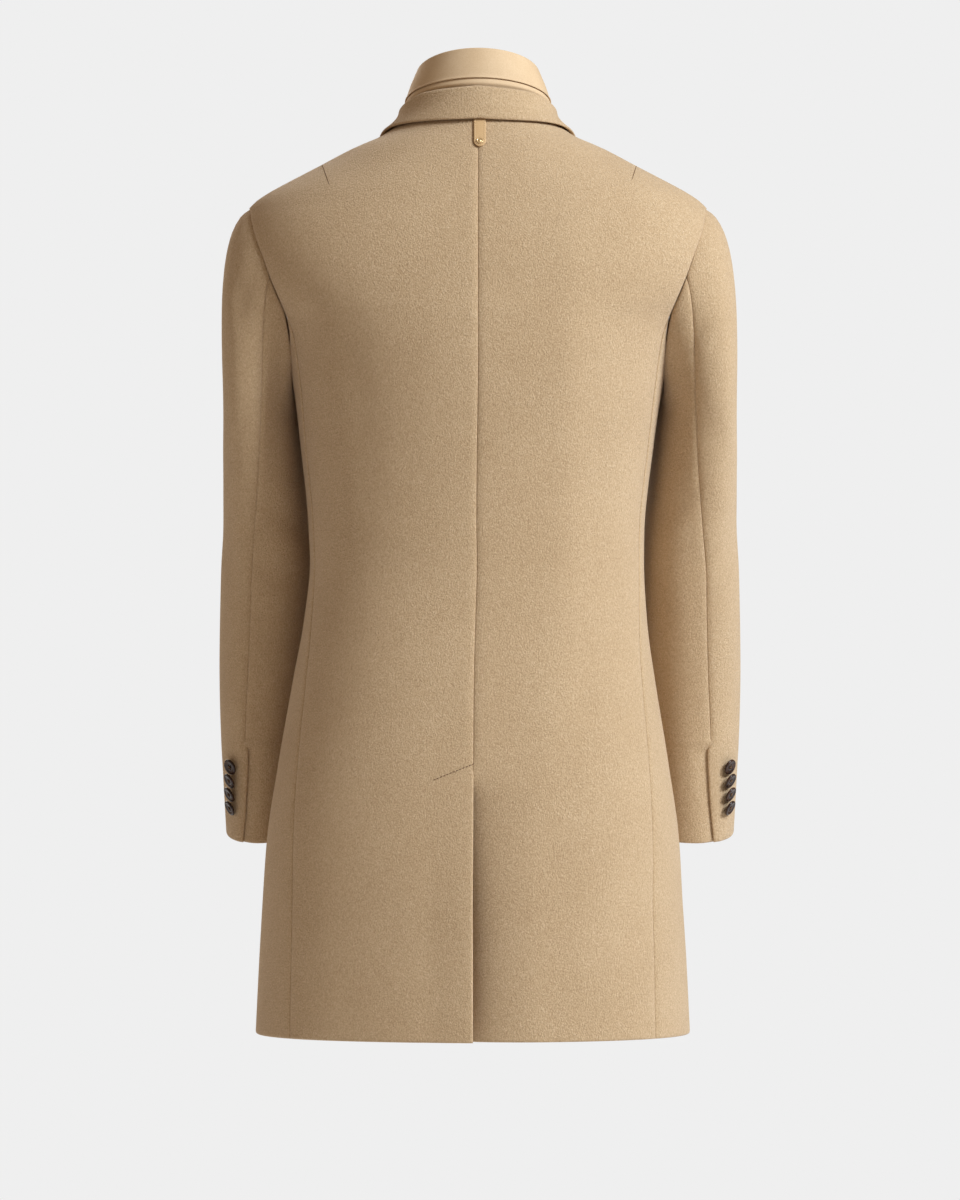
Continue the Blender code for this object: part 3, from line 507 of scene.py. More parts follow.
backs = {
    "folds": (      # x, z, length, turn, width, height, bend
        (0.090, -0.330, 0.300, 12, 0.045, -0.0016, 0.0), (-0.105, -0.360, 0.260, -9, 0.040, -0.0013, 0.0),
        (0.060, -0.480, 0.220, 70, 0.030, -0.0010, 0.3), (-0.050, -0.470, 0.200, -72, 0.028, -0.0009, 0.4),
        (-0.088, -0.290, 0.480, 0, 0.022, 0.0017, 0.0), (-0.077, -0.520, 0.420, -6, 0.024, 0.0015, 0.0),
        (0.148, -0.235, 0.160, 4, 0.014, 0.0010, 0.0), (0.118, -0.300, 0.240, 6, 0.016, -0.0009, 0.0),
        (-0.118, -0.790, 0.280, -3, 0.036, 0.0014, 0.0),
        (0.150, -0.240, 0.120, 28, 0.016, -0.0014, 1.0), (-0.146, -0.250, 0.130, -24, 0.016, -0.0012, -1.0),
    ),
}
fronts = {
    "lap": 0.020, "lapClear": 0.003, "under": 0.030, "underGap": 0.0009, "lapelFoot": -0.295,
    "insetFade": (0.03, 0.08),      # the right front rises again above the lapel's foot
    "folds": (
        (0.085, -0.350, 0.240, 62, 0.022, -0.0018, 0.8), (-0.080, -0.365, 0.220, -58, 0.020, -0.0016, 0.7),
        (0.110, -0.470, 0.260, 78, 0.026, -0.0013, 0.5), (-0.120, -0.500, 0.230, -74, 0.024, -0.0012, 0.4),
        (0.110, -0.780, 0.320, 5, 0.045, 0.0024, 0.0), (-0.100, -0.760, 0.300, -4, 0.040, 0.0021, 0.0),
        (0.140, -0.230, 0.150, 24, 0.018, -0.0018, 0.9), (-0.138, -0.240, 0.140, -26, 0.018, -0.0016, -0.9),
    ),
}


def rowHeights(low, high, special=()):
    span = placesAlong([high - low], cloth["step"], True, False)[0] + low
    far = np.array([z for z in special if np.abs(span - z).min() > cloth["leastRow"]])
    return np.unique(np.concatenate([span, far]))


def torsoStrip(z, start, end, startOut, endOut):
    # angles at even spacing between two edges, and each point's distance from both
    turn = np.linspace(0, 1, 160)   # fine enough to measure a ring by
    angles = start[:, None] + (end - start)[:, None] * turn
    run = runAlong(ringPoint(torso, np.repeat(z[:, None], len(turn), axis=1), angles))
    spread = placesAlong(run[:, -1] + startOut + endOut, cloth["step"])
    rate = np.gradient(run, turn, axis=1)
    shares = np.stack([np.interp(s - startOut, r, turn) for s, r in zip(spread, run)])
    shares += np.minimum(spread - startOut, 0) / rate[:, :1]
    shares += np.maximum(spread - startOut - run[:, -1:], 0) / rate[:, -1:]
    angle = start[:, None] + (end - start)[:, None] * shares
    return np.repeat(z[:, None], angle.shape[1], axis=1), angle, spread, spread[:, -1:] - spread


def seamOrFree(z, distance, top, width=0.010):
    # an edge that is sewn above a height and free below it
    free = ease(top - z, 0, width)
    radius = cloth["seamRadius"] + (cloth["freeRadius"] - cloth["seamRadius"]) * free
    return distance, radius, cloth["seamDip"] * (1 - free)


def ventInset(z, angle):
    near = ringPoint(torso, z, angle)[..., 0] - torso["shift"](z)
    down = ease(vent["top"] - z, 0, vent["taper"])
    deep = vent["sink"] + vent["deepen"] * ease(vent["top"] - z, 0.02, 0.20)
    wide = 1 - ease(near, 0, vent["hollow"])
    return -deep * (0.6 * np.exp(-np.maximum(near, 0) / vent["steep"]) + 0.4 * wide) * down


def ventKeel(z, angle):             # the left half stands out at its edge and falls away from it
    near = ringPoint(torso, z, angle)[..., 0] - torso["shift"](z)
    down = ease(vent["top"] + 0.02 - z, 0, 0.20)
    roll = vent["roll"] * (1 - ease(near, 0, vent["rollReach"]))
    rest = (1 - vent["roll"]) * (1 - ease(near, vent["keelAt"], vent["keelReach"]))
    return vent["keel"] * down * (roll + rest)


def addBacks():
    levels = rowHeights(body["hem"], 0.0, [row[0] for row in body["armhole"]])
    edge = outerEdgeAngle(levels)
    tuck = cloth["tuck"]
    z, angle, fromSeam, fromEdge = torsoStrip(levels, 0 * levels, edge, tuck, tuck)
    hem = (z - body["hem"], cloth["freeRadius"], 0)
    points, normals = onTorso(z, angle, ventKeel(z, angle))
    points += normals * foldLift(points, normals, backs["folds"], 1)[..., None]
    left = addCloth("backLeftCloth", points, normals, [
        seamOrFree(z, fromSeam, vent["top"]), (fromEdge, cloth["seamRadius"], cloth["seamDip"]), hem,
    ], woolFinish, ["back_left"])

    lap = np.linspace(1, 0, vent["lapColumns"] + 1)[:-1]    # the right half goes on under the left
    lapAngle = -vent["lap"] / vent["reach"] * lap
    wideZ = np.concatenate([np.repeat(levels[:, None], len(lap), axis=1), z], axis=1)
    wideAngle = np.concatenate([np.broadcast_to(lapAngle, (len(levels), len(lap))), angle], axis=1)
    kept = np.ones((len(levels) - 1, wideZ.shape[1] - 1), bool)
    kept[levels[1:] > vent["top"] - vent["opens"], :len(lap)] = False
    points, normals = onTorso(wideZ, -wideAngle, ventInset(wideZ, np.maximum(wideAngle, 0)))
    points += normals * foldLift(points, normals, backs["folds"], 1)[..., None]
    far = np.full((len(levels), len(lap)), cloth["far"])
    seam = np.concatenate([far, fromSeam], axis=1)
    sewn = ease(wideZ, vent["top"] - vent["opens"], vent["top"] + vent["opens"])
    barely = 0.02
    seamEdge = (np.where(sewn > barely, seam / np.maximum(sewn, barely), cloth["far"]),
                cloth["seamRadius"], cloth["seamDip"] * sewn)
    edgeFar = np.concatenate([far, fromEdge], axis=1)
    right = addCloth("backRightCloth", points, normals, [
        seamEdge, (edgeFar, cloth["seamRadius"], cloth["seamDip"]),
        (wideZ - body["hem"], cloth["freeRadius"], 0),
    ], woolFinish, ["back_right"], kept=kept)
    return left, right


def sideTop(share):                 # the side panel's top follows the underarm
    return body["kink"] - (body["kink"] - body["armpit"]) * np.sin(math.pi * share) ** 0.8


def addSides():
    across = 0.10                   # roughly the panel's width
    near = placesAlong([across], cloth["step"])[0] / across
    top = sideTop(np.clip(near, 0, 1)) + cloth["tuck"]
    z = body["hem"] + placesAlong(top - body["hem"], cloth["step"]).T
    turn = angleAtShare(z, sideSeam(z))
    angle = turn + near * (math.pi - 2 * turn)
    pieces = []
    for name, node, side in (("sideLeftCloth", "side_left", 1), ("sideRightCloth", "side_right", -1)):
        points, normals = onTorso(z, side * angle)
        run = runAlong(points)
        pieces.append(addCloth(name, points, normals, [
            (run + cloth["tuck"], cloth["seamRadius"], cloth["seamDip"]),
            (run[:, -1:] - run + cloth["tuck"], cloth["seamRadius"], cloth["seamDip"]),
            (z - body["hem"], cloth["freeRadius"], 0),
            (z[-1:] - z, cloth["seamRadius"], cloth["seamDip"]),
        ], woolFinish, [node]))
    return pieces


def frontInset(z, angle):           # the right front lies under the left one
    near = ringPoint(torso, z, angle)[..., 0] - torso["shift"](z)
    sink = 1 - ease(near, fronts["lap"] + fronts["lapClear"], fronts["lap"] + fronts["under"])
    facing = np.cos(angle) < 0
    fade = 1 - ease(z, *(fronts["lapelFoot"] + up for up in fronts["insetFade"]))
    return -(cloth["wool"] + fronts["underGap"]) * sink * facing * fade


def addFronts():
    levels = rowHeights(body["hem"], 0.0, [row[0] for row in body["armhole"]])
    start = math.pi - outerEdgeAngle(levels)
    pieces = []
    z, angle, fromSide, fromEdge = torsoStrip(levels, start, frontEdgeAngle(levels), cloth["tuck"], 0)
    for name, node, side in (("frontLeftCloth", "front_left", 1), ("frontRightCloth", "front_right", -1)):
        inset = frontInset(z, angle) if side < 0 else 0 * z
        points, normals = onTorso(z, side * angle, inset)
        points += normals * foldLift(points, normals, fronts["folds"], -1)[..., None]
        pieces.append(addCloth(name, points, normals, [
            (fromSide, cloth["seamRadius"], cloth["seamDip"]), (fromEdge, cloth["freeRadius"], 0),
            (z - body["hem"], cloth["freeRadius"], 0),
        ], woolFinish, [node]))
    return pieces


backLeft, backRight = addBacks()
sideLeft, sideRight = addSides()
frontLeft, frontRight = addFronts()
print("panels made")


# Lapels: each lies on its front and rolls over the front's edge

lapels = {
    "lift": 0.0012, "top": (-0.006, -0.058), "footWidth": 0.004, "width": 0.072,
    "rollWidth": 0.009, "rollRadius": 0.0040, "belly": 0.0022,
    "size": (0.075, 0.27), "steps": (0.0042, 0.0048),       # for spacing the mesh only
}


def addLapels():
    share, rise = (placesAlong([size], step)[0] / size for size, step in zip(lapels["size"], lapels["steps"]))
    rise = rise[:, None]
    top = lapels["top"][0] + lapels["top"][1] * share
    z = fronts["lapelFoot"] + rise * (top - fronts["lapelFoot"])
    width = lapels["footWidth"] + lapels["width"] * np.minimum(rise * 1.15, 1.08) ** 0.85
    x = frontEdge(z) + width * share
    angle = math.pi - angleAtShare(z, x / torso["halfWidth"](z))
    lift = lapels["lift"] * (1 + rise**4)
    pieces = []
    for name, node, side in (("lapelLeftCloth", "lapel_left", 1), ("lapelRightCloth", "lapel_right", -1)):
        under = frontInset(z, angle) if side < 0 else 0 * z
        belly = lapels["belly"] * np.sin(math.pi * share) * np.sin(math.pi * np.clip(rise, 0, 1)) ** 0.5
        points, normals = onTorso(z, side * angle, under + lift + cloth["wool"] + belly)
        fromRoll = runAlong(points)
        fromTip = fromRoll[:, -1:] - fromRoll
        roll = 1 - ease(fromRoll, 0.002, lapels["rollWidth"])
        thick = cloth["wool"] + (cloth["wool"] + lift) * roll       # wraps the front's own edge
        fromFoot = runAlong(points.transpose(1, 0, 2)).T
        pieces.append(addCloth(name, points, normals, [
            (fromRoll, lapels["rollRadius"], 0), (fromTip, cloth["freeRadius"], 0),
            (fromFoot, cloth["freeRadius"], 0), (fromFoot[-1:] - fromFoot, cloth["freeRadius"], 0),
        ], woolFinish, [node], thick=thick))
    return pieces


# Sleeves

sleeves = {
    "columns": ("z", "outerX", "innerX", "middleY", "halfDepth", "tilt", "lean", "seamX"),
    "rows": (
        (-0.719, 0.2585, 0.1850, -0.116, 0.0470, 0.22, 0.00, 0.2420),
        (-0.660, 0.2615, 0.1810, -0.110, 0.0500, 0.21, 0.00, 0.2370),
        (-0.600, 0.2640, 0.1760, -0.102, 0.0530, 0.20, 0.02, 0.2345),
        (-0.550, 0.2643, 0.1700, -0.094, 0.0560, 0.18, 0.05, 0.2320),
        (-0.500, 0.2630, 0.1650, -0.084, 0.0590, 0.16, 0.08, 0.2295),
        (-0.450, 0.2612, 0.1630, -0.073, 0.0620, 0.14, 0.11, 0.2280),
        (-0.400, 0.2578, 0.1670, -0.061, 0.0650, 0.11, 0.15, 0.2235),
        (-0.350, 0.2570, 0.1740, -0.046, 0.0680, 0.08, 0.19, 0.2190),
        (-0.300, 0.2555, 0.1800, -0.028, 0.0690, 0.05, 0.22, 0.2160),
    ),
    "power": 2.25, "seamDrop": 0.165,       # below the neck, where the back seam meets the armhole
    "headRings": 8, "headTuck": 0.0013,
    "tubeRings": (10, 5),   # above and below the cuff vent's top
    "finer": (12, 8),       # how many times finer the mesh is than its cage, round and down
    "ventTop": -0.628, "ventFade": 0.008, "ventLap": 0.013,
    "ventSink": 0.0032, "ventHollow": 0.022,        # the under sleeve falls away below the vent's edge
    "ventStep": 0.0035,     # how far the upper sleeve laps over it
    "folds": {          # on the back of each sleeve, then on its front
        "left": (
            (0.190, -0.330, 0.400, -2, 0.017, 0.0030, 0.0),
            (0.238, -0.190, 0.060, -14, 0.010, -0.0034, 0.0), (0.247, -0.196, 0.075, 8, 0.007, 0.0016, 0.0),
            (0.250, -0.452, 0.090, 6, 0.010, -0.0020, 0.0), (0.244, -0.330, 0.120, -24, 0.010, -0.0014, 0.6),
            (0.200, -0.400, 0.080, 52, 0.011, -0.0020, 1.0), (0.204, -0.455, 0.070, 64, 0.010, -0.0016, 1.0),
            (0.240, -0.700, 0.030, 20, 0.004, -0.0012, 0.0),
        ),
        "right": (
            (-0.186, -0.330, 0.420, 2, 0.017, 0.0030, 0.0),
            (-0.237, -0.226, 0.030, -38, 0.004, -0.0016, 0.0),
            (-0.232, -0.212, 0.070, -30, 0.010, 0.0014, 0.0),
            (-0.250, -0.430, 0.110, -5, 0.011, -0.0017, 0.0),
            (-0.241, -0.335, 0.120, 20, 0.011, -0.0014, -0.6),
            (-0.198, -0.392, 0.080, -50, 0.011, -0.0018, -1.0),
            (-0.206, -0.448, 0.080, -66, 0.010, -0.0015, -1.0),
        ),
        "leftFront": (
            (0.214, -0.360, 0.090, 66, 0.009, -0.0030, 1.2), (0.208, -0.392, 0.100, 74, 0.008, -0.0034, 1.0),
            (0.214, -0.425, 0.090, 84, 0.009, -0.0026, 0.8), (0.226, -0.300, 0.110, 40, 0.012, -0.0022, 0.5),
            (0.212, -0.235, 0.120, 16, 0.012, -0.0026, 0.8),
        ),
        "rightFront": (
            (-0.212, -0.350, 0.090, -70, 0.009, -0.0028, -1.2),
            (-0.208, -0.384, 0.100, -62, 0.008, -0.0034, -1.0),
            (-0.216, -0.418, 0.080, -80, 0.009, -0.0024, -0.8),
            (-0.226, -0.290, 0.120, -42, 0.012, -0.0022, -0.5),
            (-0.214, -0.240, 0.110, -18, 0.012, -0.0026, -0.8),
        ),
    },
}
sleeve = readTable(sleeves["columns"], sleeves["rows"])


def sleeveCage(side):
    # columns run from the shoulder point round the back, rows from the armhole to the cuff
    backZ = np.array([row[0] for row in body["armhole"]])[::-1]
    backAngle = armholeAngle(backZ)
    backAngle[0] = math.pi / 2
    share = np.linspace(0, 1, 7)
    low = float(angleAtShare(body["kink"], sideSeam(body["kink"])))
    turn = low + share * (math.pi - 2 * low)
    ringZ = np.concatenate([backZ, sideTop(share)[1:-1], backZ[:0:-1]])
    ringAngle = np.concatenate([backAngle, turn[1:-1], math.pi - backAngle[:0:-1]])
    start, _ = onTorso(ringZ, side * ringAngle)
    count = len(start)
    backSeam = int(np.argmin(np.abs(backZ + sleeves["seamDrop"])))
    frontSeam = count - backSeam
    high, foot = sleeves["rows"][-1][0], sleeves["rows"][0][0]
    above, below = sleeves["tubeRings"]
    heights = np.concatenate([
        np.linspace(high, sleeves["ventTop"], above), np.linspace(sleeves["ventTop"], foot, below)[1:],
    ])

    def ringPart(z, turns):
        reach, depth = (sleeve["outerX"](z) - sleeve["innerX"](z)) / 2, sleeve["halfDepth"](z)
        across = math.sqrt(reach**2 - (sleeve["lean"](z) * depth) ** 2)
        cosine, sine = np.cos(turns), np.sin(turns)
        y = depth * np.sign(sine) * np.abs(sine) ** (2 / sleeves["power"])
        x = across * np.sign(cosine) * np.abs(cosine) ** (2 / sleeves["power"]) + sleeve["lean"](z) * y
        return (sleeve["outerX"](z) + sleeve["innerX"](z)) / 2 + x, y

    def ringAt(z):
        tries = np.linspace(math.radians(20), math.radians(150), 400)
        seamTurn = tries[np.argmin(np.abs(ringPart(z, tries)[0] - sleeve["seamX"](z)))]
        anchors = (0, backSeam, count // 2, frontSeam, count)
        turns = np.interp(np.arange(count), anchors,
                          (0, seamTurn, math.pi, 2 * math.pi - seamTurn, 2 * math.pi))
        x, y = ringPart(z, turns)
        inwards = (sleeve["outerX"](z) - x) / (sleeve["outerX"](z) - sleeve["innerX"](z))
        x = side * x + torso["shift"](z) * inwards
        return np.stack([x, sleeve["middleY"](z) + y, z - sleeve["tilt"](z) * y], axis=-1)

    tube = [ringAt(z) for z in heights]
    down = unit(ringAt(heights[0] - 0.002) - ringAt(heights[0]))
    crown = np.cos(np.pi * np.arange(count) / count) ** 2
    around = np.sin(2 * np.pi * np.arange(count) / count)
    # the head leaves the armhole outwards at the shoulder and almost straight down below
    leave = unit(np.stack([side * (0.22 + 0.62 * crown**2), 0.10 * around, 0.42 * crown**2 - 0.97], axis=-1))
    reach = np.linalg.norm(tube[0] - start, axis=-1)[:, None]
    pull = reach * (0.35 + 0.35 * crown[:, None])
    head = []
    for t in np.linspace(0, 1, sleeves["headRings"] + 1)[:-1] ** 1.15:
        blend = ((1 + 2 * t) * (1 - t) ** 2, t * (1 - t) ** 2, t * t * (3 - 2 * t), t * t * (t - 1))
        ends = blend[0] * start + blend[1] * pull * leave
        head.append(ends + blend[2] * tube[0] + blend[3] * reach * down)
    return np.array(head + tube), backSeam, frontSeam


def throughPoints(grid, times, axis, loop=False):   # a smooth curve through every line of a grid
    grid = np.moveaxis(grid, axis, 0)
    count = len(grid)
    if loop:
        at = np.arange(count * times) / times
        picks = [(np.floor(at).astype(int) + k) % count for k in (-1, 0, 1, 2)]
    else:
        at = np.arange((count - 1) * times + 1) / times
        base = np.minimum(np.floor(at).astype(int), count - 2)
        grid = np.concatenate([2 * grid[:1] - grid[1:2], grid, 2 * grid[-1:] - grid[-2:-1]])
        picks = [base + k for k in (0, 1, 2, 3)]
        at = at - base
    t = (at % 1 if loop else at)[:, None, None]
    a, b, c, d = (grid[p] for p in picks)
    square, cube = 2 * a - 5 * b + 4 * c - d, 3 * b - a - 3 * c + d
    return np.moveaxis(0.5 * (2 * b + (c - a) * t + square * t**2 + cube * t**3), 0, axis)


def sleeveStrip(ring, fromColumn, toColumn, startOut, endOut):
    # part of a sleeve between two columns, widened at both edges by a length for each row
    count = ring.shape[1]
    loops = np.concatenate([ring, ring, ring], axis=1)
    run = runAlong(loops)
    start = run[:, fromColumn + count] - startOut
    end = run[:, toColumn + count + (0 if toColumn > fromColumn else count)] + endOut
    spread = placesAlong(end - start, cloth["step"])
    points = np.stack([
        np.stack([np.interp(s + first, r, line[:, k]) for k in range(3)], axis=-1)
        for s, first, r, line in zip(spread, start, run, loops)
    ])
    return points, spread, spread[:, -1:] - spread


def gridNormals(points, outwardFrom):
    normals = unit(np.cross(np.gradient(points, axis=1), np.gradient(points, axis=0)))
    return normals * np.sign((normals * (points - outwardFrom)).sum())


def foldSleeve(points, normals, suffix):
    for face, key in ((1, suffix.lower()), (-1, suffix.lower() + "Front")):
        points = points + normals * foldLift(points, normals, sleeves["folds"][key], face)[..., None]
    return points


def addSleeves():
    pieces = {}
    times, timesDown = sleeves["finer"]
    for suffix, side in (("Left", 1), ("Right", -1)):
        cage, backSeam, frontSeam = sleeveCage(side)
        fine = throughPoints(throughPoints(cage, times, 1, loop=True), timesDown, 0)
        fine = np.concatenate([fine[:1] + unit(fine[:1] - fine[1:2]) * sleeves["headTuck"], fine])
        centres = fine.mean(axis=1, keepdims=True)
        run = runAlong(fine.transpose(1, 0, 2)).mean(axis=0)
        spots = placesAlong([run[-1]], cloth["step"])[0]
        rows = np.interp(spots, run, np.arange(len(run)))
        low = np.minimum(rows.astype(int), len(run) - 2)
        share = (rows - low)[:, None, None]
        fine, centres = (g[low] * (1 - share) + g[low + 1] * share for g in (fine, centres))
        height = fine[:, backSeam * times, 2]
        below = ease(sleeves["ventTop"] - height, 0, sleeves["ventFade"])
        tuck = 0 * height + cloth["tuck"]
        rowEdges = (
            ((spots - spots[0])[:, None], cloth["seamRadius"], cloth["seamDip"]),
            ((spots[-1] - spots)[:, None], cloth["freeRadius"], 0),
        )

        points, fromFront, fromBack = sleeveStrip(
            fine, frontSeam * times, backSeam * times, tuck, tuck + sleeves["ventStep"] * below)
        normals = gridNormals(points, centres)
        points = foldSleeve(points, normals, suffix)
        free = below[:, None]
        pieces["upper" + suffix] = addCloth("sleeveUpper" + suffix + "Cloth", points, normals, [
            (fromFront, cloth["seamRadius"], cloth["seamDip"]),
            (fromBack, cloth["seamRadius"] + (cloth["freeRadius"] - cloth["seamRadius"]) * free,
             cloth["seamDip"] * (1 - free)),
            *rowEdges,
        ], woolFinish, ["sleeve_upper_" + suffix.lower()])

        lapped = sleeves["ventLap"] * ease(sleeves["ventTop"] - height, -0.002, 0.0)
        points, fromBack, fromFront = sleeveStrip(
            fine, backSeam * times, frontSeam * times, tuck + lapped, tuck)
        normals = gridNormals(points, centres)
        inside = fromBack - lapped[:, None]
        sink = sleeves["ventSink"] * (1 - ease(inside, 0.001, sleeves["ventHollow"])) * below[:, None]
        points = foldSleeve(points, normals, suffix) - normals * sink[..., None]
        pieces["under" + suffix] = addCloth("sleeveUnder" + suffix + "Cloth", points, normals, [
            (fromBack, cloth["seamRadius"], cloth["seamDip"] * (1 - below[:, None])),
            (fromFront, cloth["seamRadius"], cloth["seamDip"]), *rowEdges,
        ], woolFinish, ["sleeve_under_" + suffix.lower()])
    return pieces


lapelLeft, lapelRight = addLapels()
sleevePieces = addSleeves()
print("lapels and sleeves made")


# The turned-down collar

collar = {
    "end": 135,             # degrees round from the centre back
    "wool": 0.0028, "foldRadius": 0.0021,
    "length": 0.36, "step": 0.0030, "leaf": 0.042, "leafStep": 0.0035,      # for spacing the mesh only
    "footUp": 0.0007, "wave": 0.0005, "waves": 5.3,     # height and count of the leaf's slight ripple
    "columns": ("degrees", "foldZ", "edgeZ", "edgeDegrees", "clear", "belly"),
    "rows": (
        (0, 0.0265, -0.0085, 0, 0.0024, 0.06), (45, 0.0215, -0.0125, 45, 0.0022, 0.06),
        (65, 0.0145, -0.0138, 64.5, 0.0018, 0.06), (90, 0.0055, -0.0150, 88.5, 0.0010, 0.06),
        (110, -0.0080, -0.0210, 106, 0.0022, 0.10), (135, -0.0365, -0.0280, 126.5, 0.0034, 0.22),
    ),
}
collarEdge = readTable(collar["columns"], collar["rows"])


def addCollar():
    share = placesAlong([collar["length"]], collar["step"])[0] / collar["length"]
    angle = (share * 2 - 1) * math.radians(collar["end"])
    degrees = np.degrees(np.abs(angle))
    seam, _ = onTorso(0.0, angle)
    around = np.gradient(seam, angle, axis=0)
    outward = unit(np.stack([-around[:, 1], around[:, 0], 0 * angle], axis=-1))
    outward *= np.sign((outward * seam).sum())
    half = collar["wool"] / 2
    fold = collar["foldRadius"]
    up = np.array([0, 0, 1.0])
    foot = seam - outward * half + up * collar["footUp"]
    foldZ = collarEdge["foldZ"](degrees) - fold - half
    standTop = foot * (1, 1, 0) + up * foldZ[:, None]
    middle = standTop + outward * fold
    leafTop = standTop + outward * 2 * fold
    edgeAngle = np.sign(angle) * np.radians(collarEdge["edgeDegrees"](degrees))
    leafFoot, _ = onTorso(collarEdge["edgeZ"](degrees), edgeAngle, collarEdge["clear"](degrees) + half)
    lines = [foot + (standTop - foot) * t for t in np.linspace(0, 1, 5)[:-1]]
    for turn in np.radians(np.linspace(180, 0, 13)):
        lines.append(middle + fold * (outward * math.cos(turn) + up * math.sin(turn)))
    fall = np.linalg.norm(leafFoot - leafTop, axis=-1)[:, None]
    belly = collarEdge["belly"](degrees)[:, None]
    bend = leafTop - up * fall * (0.47 - 1.2 * belly) + outward * fall * belly
    for t in placesAlong([collar["leaf"]], collar["leafStep"], first=False)[0][1:] / collar["leaf"]:
        lines.append((1 - t) ** 2 * leafTop + 2 * t * (1 - t) * bend + t * t * leafFoot)
    middleLine = np.array(lines)
    normals = unit(np.cross(np.gradient(middleLine, axis=1), np.gradient(middleLine, axis=0)))
    # the leaf's edge wanders a little, as pressed wool does
    ripple = np.sin(angle * collar["waves"] + 0.7)
    wave = collar["wave"] * ripple * np.linspace(0, 1, len(lines))[:, None] ** 2
    fromEdge = runAlong(middleLine.transpose(1, 0, 2)).T
    fromEdge = fromEdge[-1:] - fromEdge
    run = runAlong(middleLine)
    points = middleLine + normals * (half + wave)[..., None]
    return addCloth("collarCloth", points, normals, [
        (fromEdge, cloth["freeRadius"], 0), (run, cloth["freeRadius"], 0),
        (run[:, -1:] - run, cloth["freeRadius"], 0),
    ], woolFinish, ["collar"], thick=collar["wool"])


# The bib inside: a standing ring, its folded outer collar and two plain fronts

bib = {
    "columns": ("z", "halfWidth", "backY", "frontY", "sideDrop", "frontDrop"),
    "standRows": (
        (0.000, 0.0718, 0.0572, -0.0762, 0.0124, 0.0735), (0.012, 0.0716, 0.0572, -0.0756, 0.0160, 0.060),
        (0.024, 0.0718, 0.0570, -0.0750, 0.0190, 0.050), (0.031, 0.0730, 0.0562, -0.0746, 0.0200, 0.046),
        (0.0345, 0.0703, 0.0541, -0.0734, 0.0203, 0.044), (0.046, 0.0660, 0.0512, -0.0719, 0.0205, 0.042),
        (0.063, 0.0588, 0.0466, -0.0696, 0.0205, 0.041),
    ),
    "leafRows": (
        (0.0345, 0.0727, 0.0565, -0.0760, 0.0203, 0.044), (0.046, 0.0685, 0.0538, -0.0745, 0.0205, 0.042),
        (0.056, 0.0645, 0.0512, -0.0732, 0.0205, 0.041), (0.065, 0.0612, 0.0490, -0.0722, 0.0205, 0.041),
    ),
    "length": 0.42, "step": 0.0030, "rowStep": 0.0026, "chest": 0.09,       # for spacing the mesh only
    "edgeRadius": 0.0011, "swell": 0.0008,
    "proud": 0.0011, "proudWidth": 0.0016,      # the turned edge of the outer collar
    "hidden": 0.0042, "hiddenTo": (-0.0002, 0.0014),    # the stand falls back inside the wool collar,
    "hiddenRound": (100, 125),                          # but not at the front, in degrees round
    "foot": -0.390, "past": 0.040, "gap": 0.0008, "belowLapel": 0.0015,
    "parting": 0.00015, "chestReach": 0.07,
}


def addBibRing(name, node, rows):
    ring = readTable(bib["columns"], rows)
    low, high = rows[0][0], rows[-1][0]
    parting = 2 * bib["parting"] / abs(rows[0][3])
    share = placesAlong([bib["length"]], bib["step"])[0] / bib["length"]
    angle = (share * 2 - 1) * (math.pi - parting)
    rise = placesAlong([high - low], bib["rowStep"])[0] + low
    z, angle = np.meshgrid(rise, angle, indexing="ij")
    normals = ringNormal(ring, z, angle, low, high)
    swell = bib["swell"] * np.sin(math.pi * (z - low) / (high - low))
    points = ringPoint(ring, z, angle) + normals * swell[..., None]
    run = runAlong(points)
    leaf = bib["proud"] * np.exp(-((z - low) / bib["proudWidth"]) ** 2)
    degrees = np.minimum(np.degrees(np.abs(angle)), collar["end"])
    foldTop = collarEdge["foldZ"](degrees) + ringDrop(angle, ring["sideDrop"](z), ring["frontDrop"](z))
    covered = (1 - ease(z - foldTop, *bib["hiddenTo"])) * (1 - ease(degrees, *bib["hiddenRound"]))
    rim = leaf if node == "bib_collar" else -bib["hidden"] * covered
    points += normals * rim[..., None]
    return addCloth(name, points, normals, [
        (z - low, bib["edgeRadius"], 0), (high - z, bib["edgeRadius"], 0),
        (run, bib["edgeRadius"], 0), (run[:, -1:] - run, bib["edgeRadius"], 0),
    ], bibFinish, [node], thick=cloth["bib"])


def addBibFronts():
    chest = rowHeights(bib["foot"], -0.0006)
    share = placesAlong([bib["chest"]], cloth["step"])[0] / bib["chest"]
    z = chest[:, None] + 0 * share
    edge = np.maximum(frontEdge(z), 0.0) + bib["past"]
    widest = torso["halfWidth"](z) * np.interp(z, (-0.05, 0), (0.98, 0.90))
    end = angleAtShare(z, np.minimum(edge, widest) / torso["halfWidth"](z))
    parting = bib["parting"] / bib["chestReach"]
    angle = math.pi - parting - share * (end - parting)
    under = 1 - ease(z, -0.250, -0.180)         # deeper where both fronts lie over it
    deep = -(cloth["wool"] + bib["gap"]) - (cloth["wool"] + bib["belowLapel"]) * under
    pieces = []
    for name, node, side in (("bibLeftCloth", "bib_left", 1), ("bibRightCloth", "bib_right", -1)):
        points, normals = onTorso(z, side * angle, deep)
        run = runAlong(points)
        pieces.append(addCloth(name, points, normals, [
            (run, bib["edgeRadius"], 0), (run[:, -1:] - run, bib["edgeRadius"], 0),
            (z - bib["foot"], bib["edgeRadius"], 0),
        ], bibFinish, [node], thick=cloth["bib"]))
    return pieces


collarPiece = addCollar()
bibStand = addBibRing("bibStandCloth", "bib_stand", bib["standRows"])
bibLeaf = addBibRing("bibLeafCloth", "bib_collar", bib["leafRows"])
bibLeft, bibRight = addBibFronts()
print("collars and bib made")
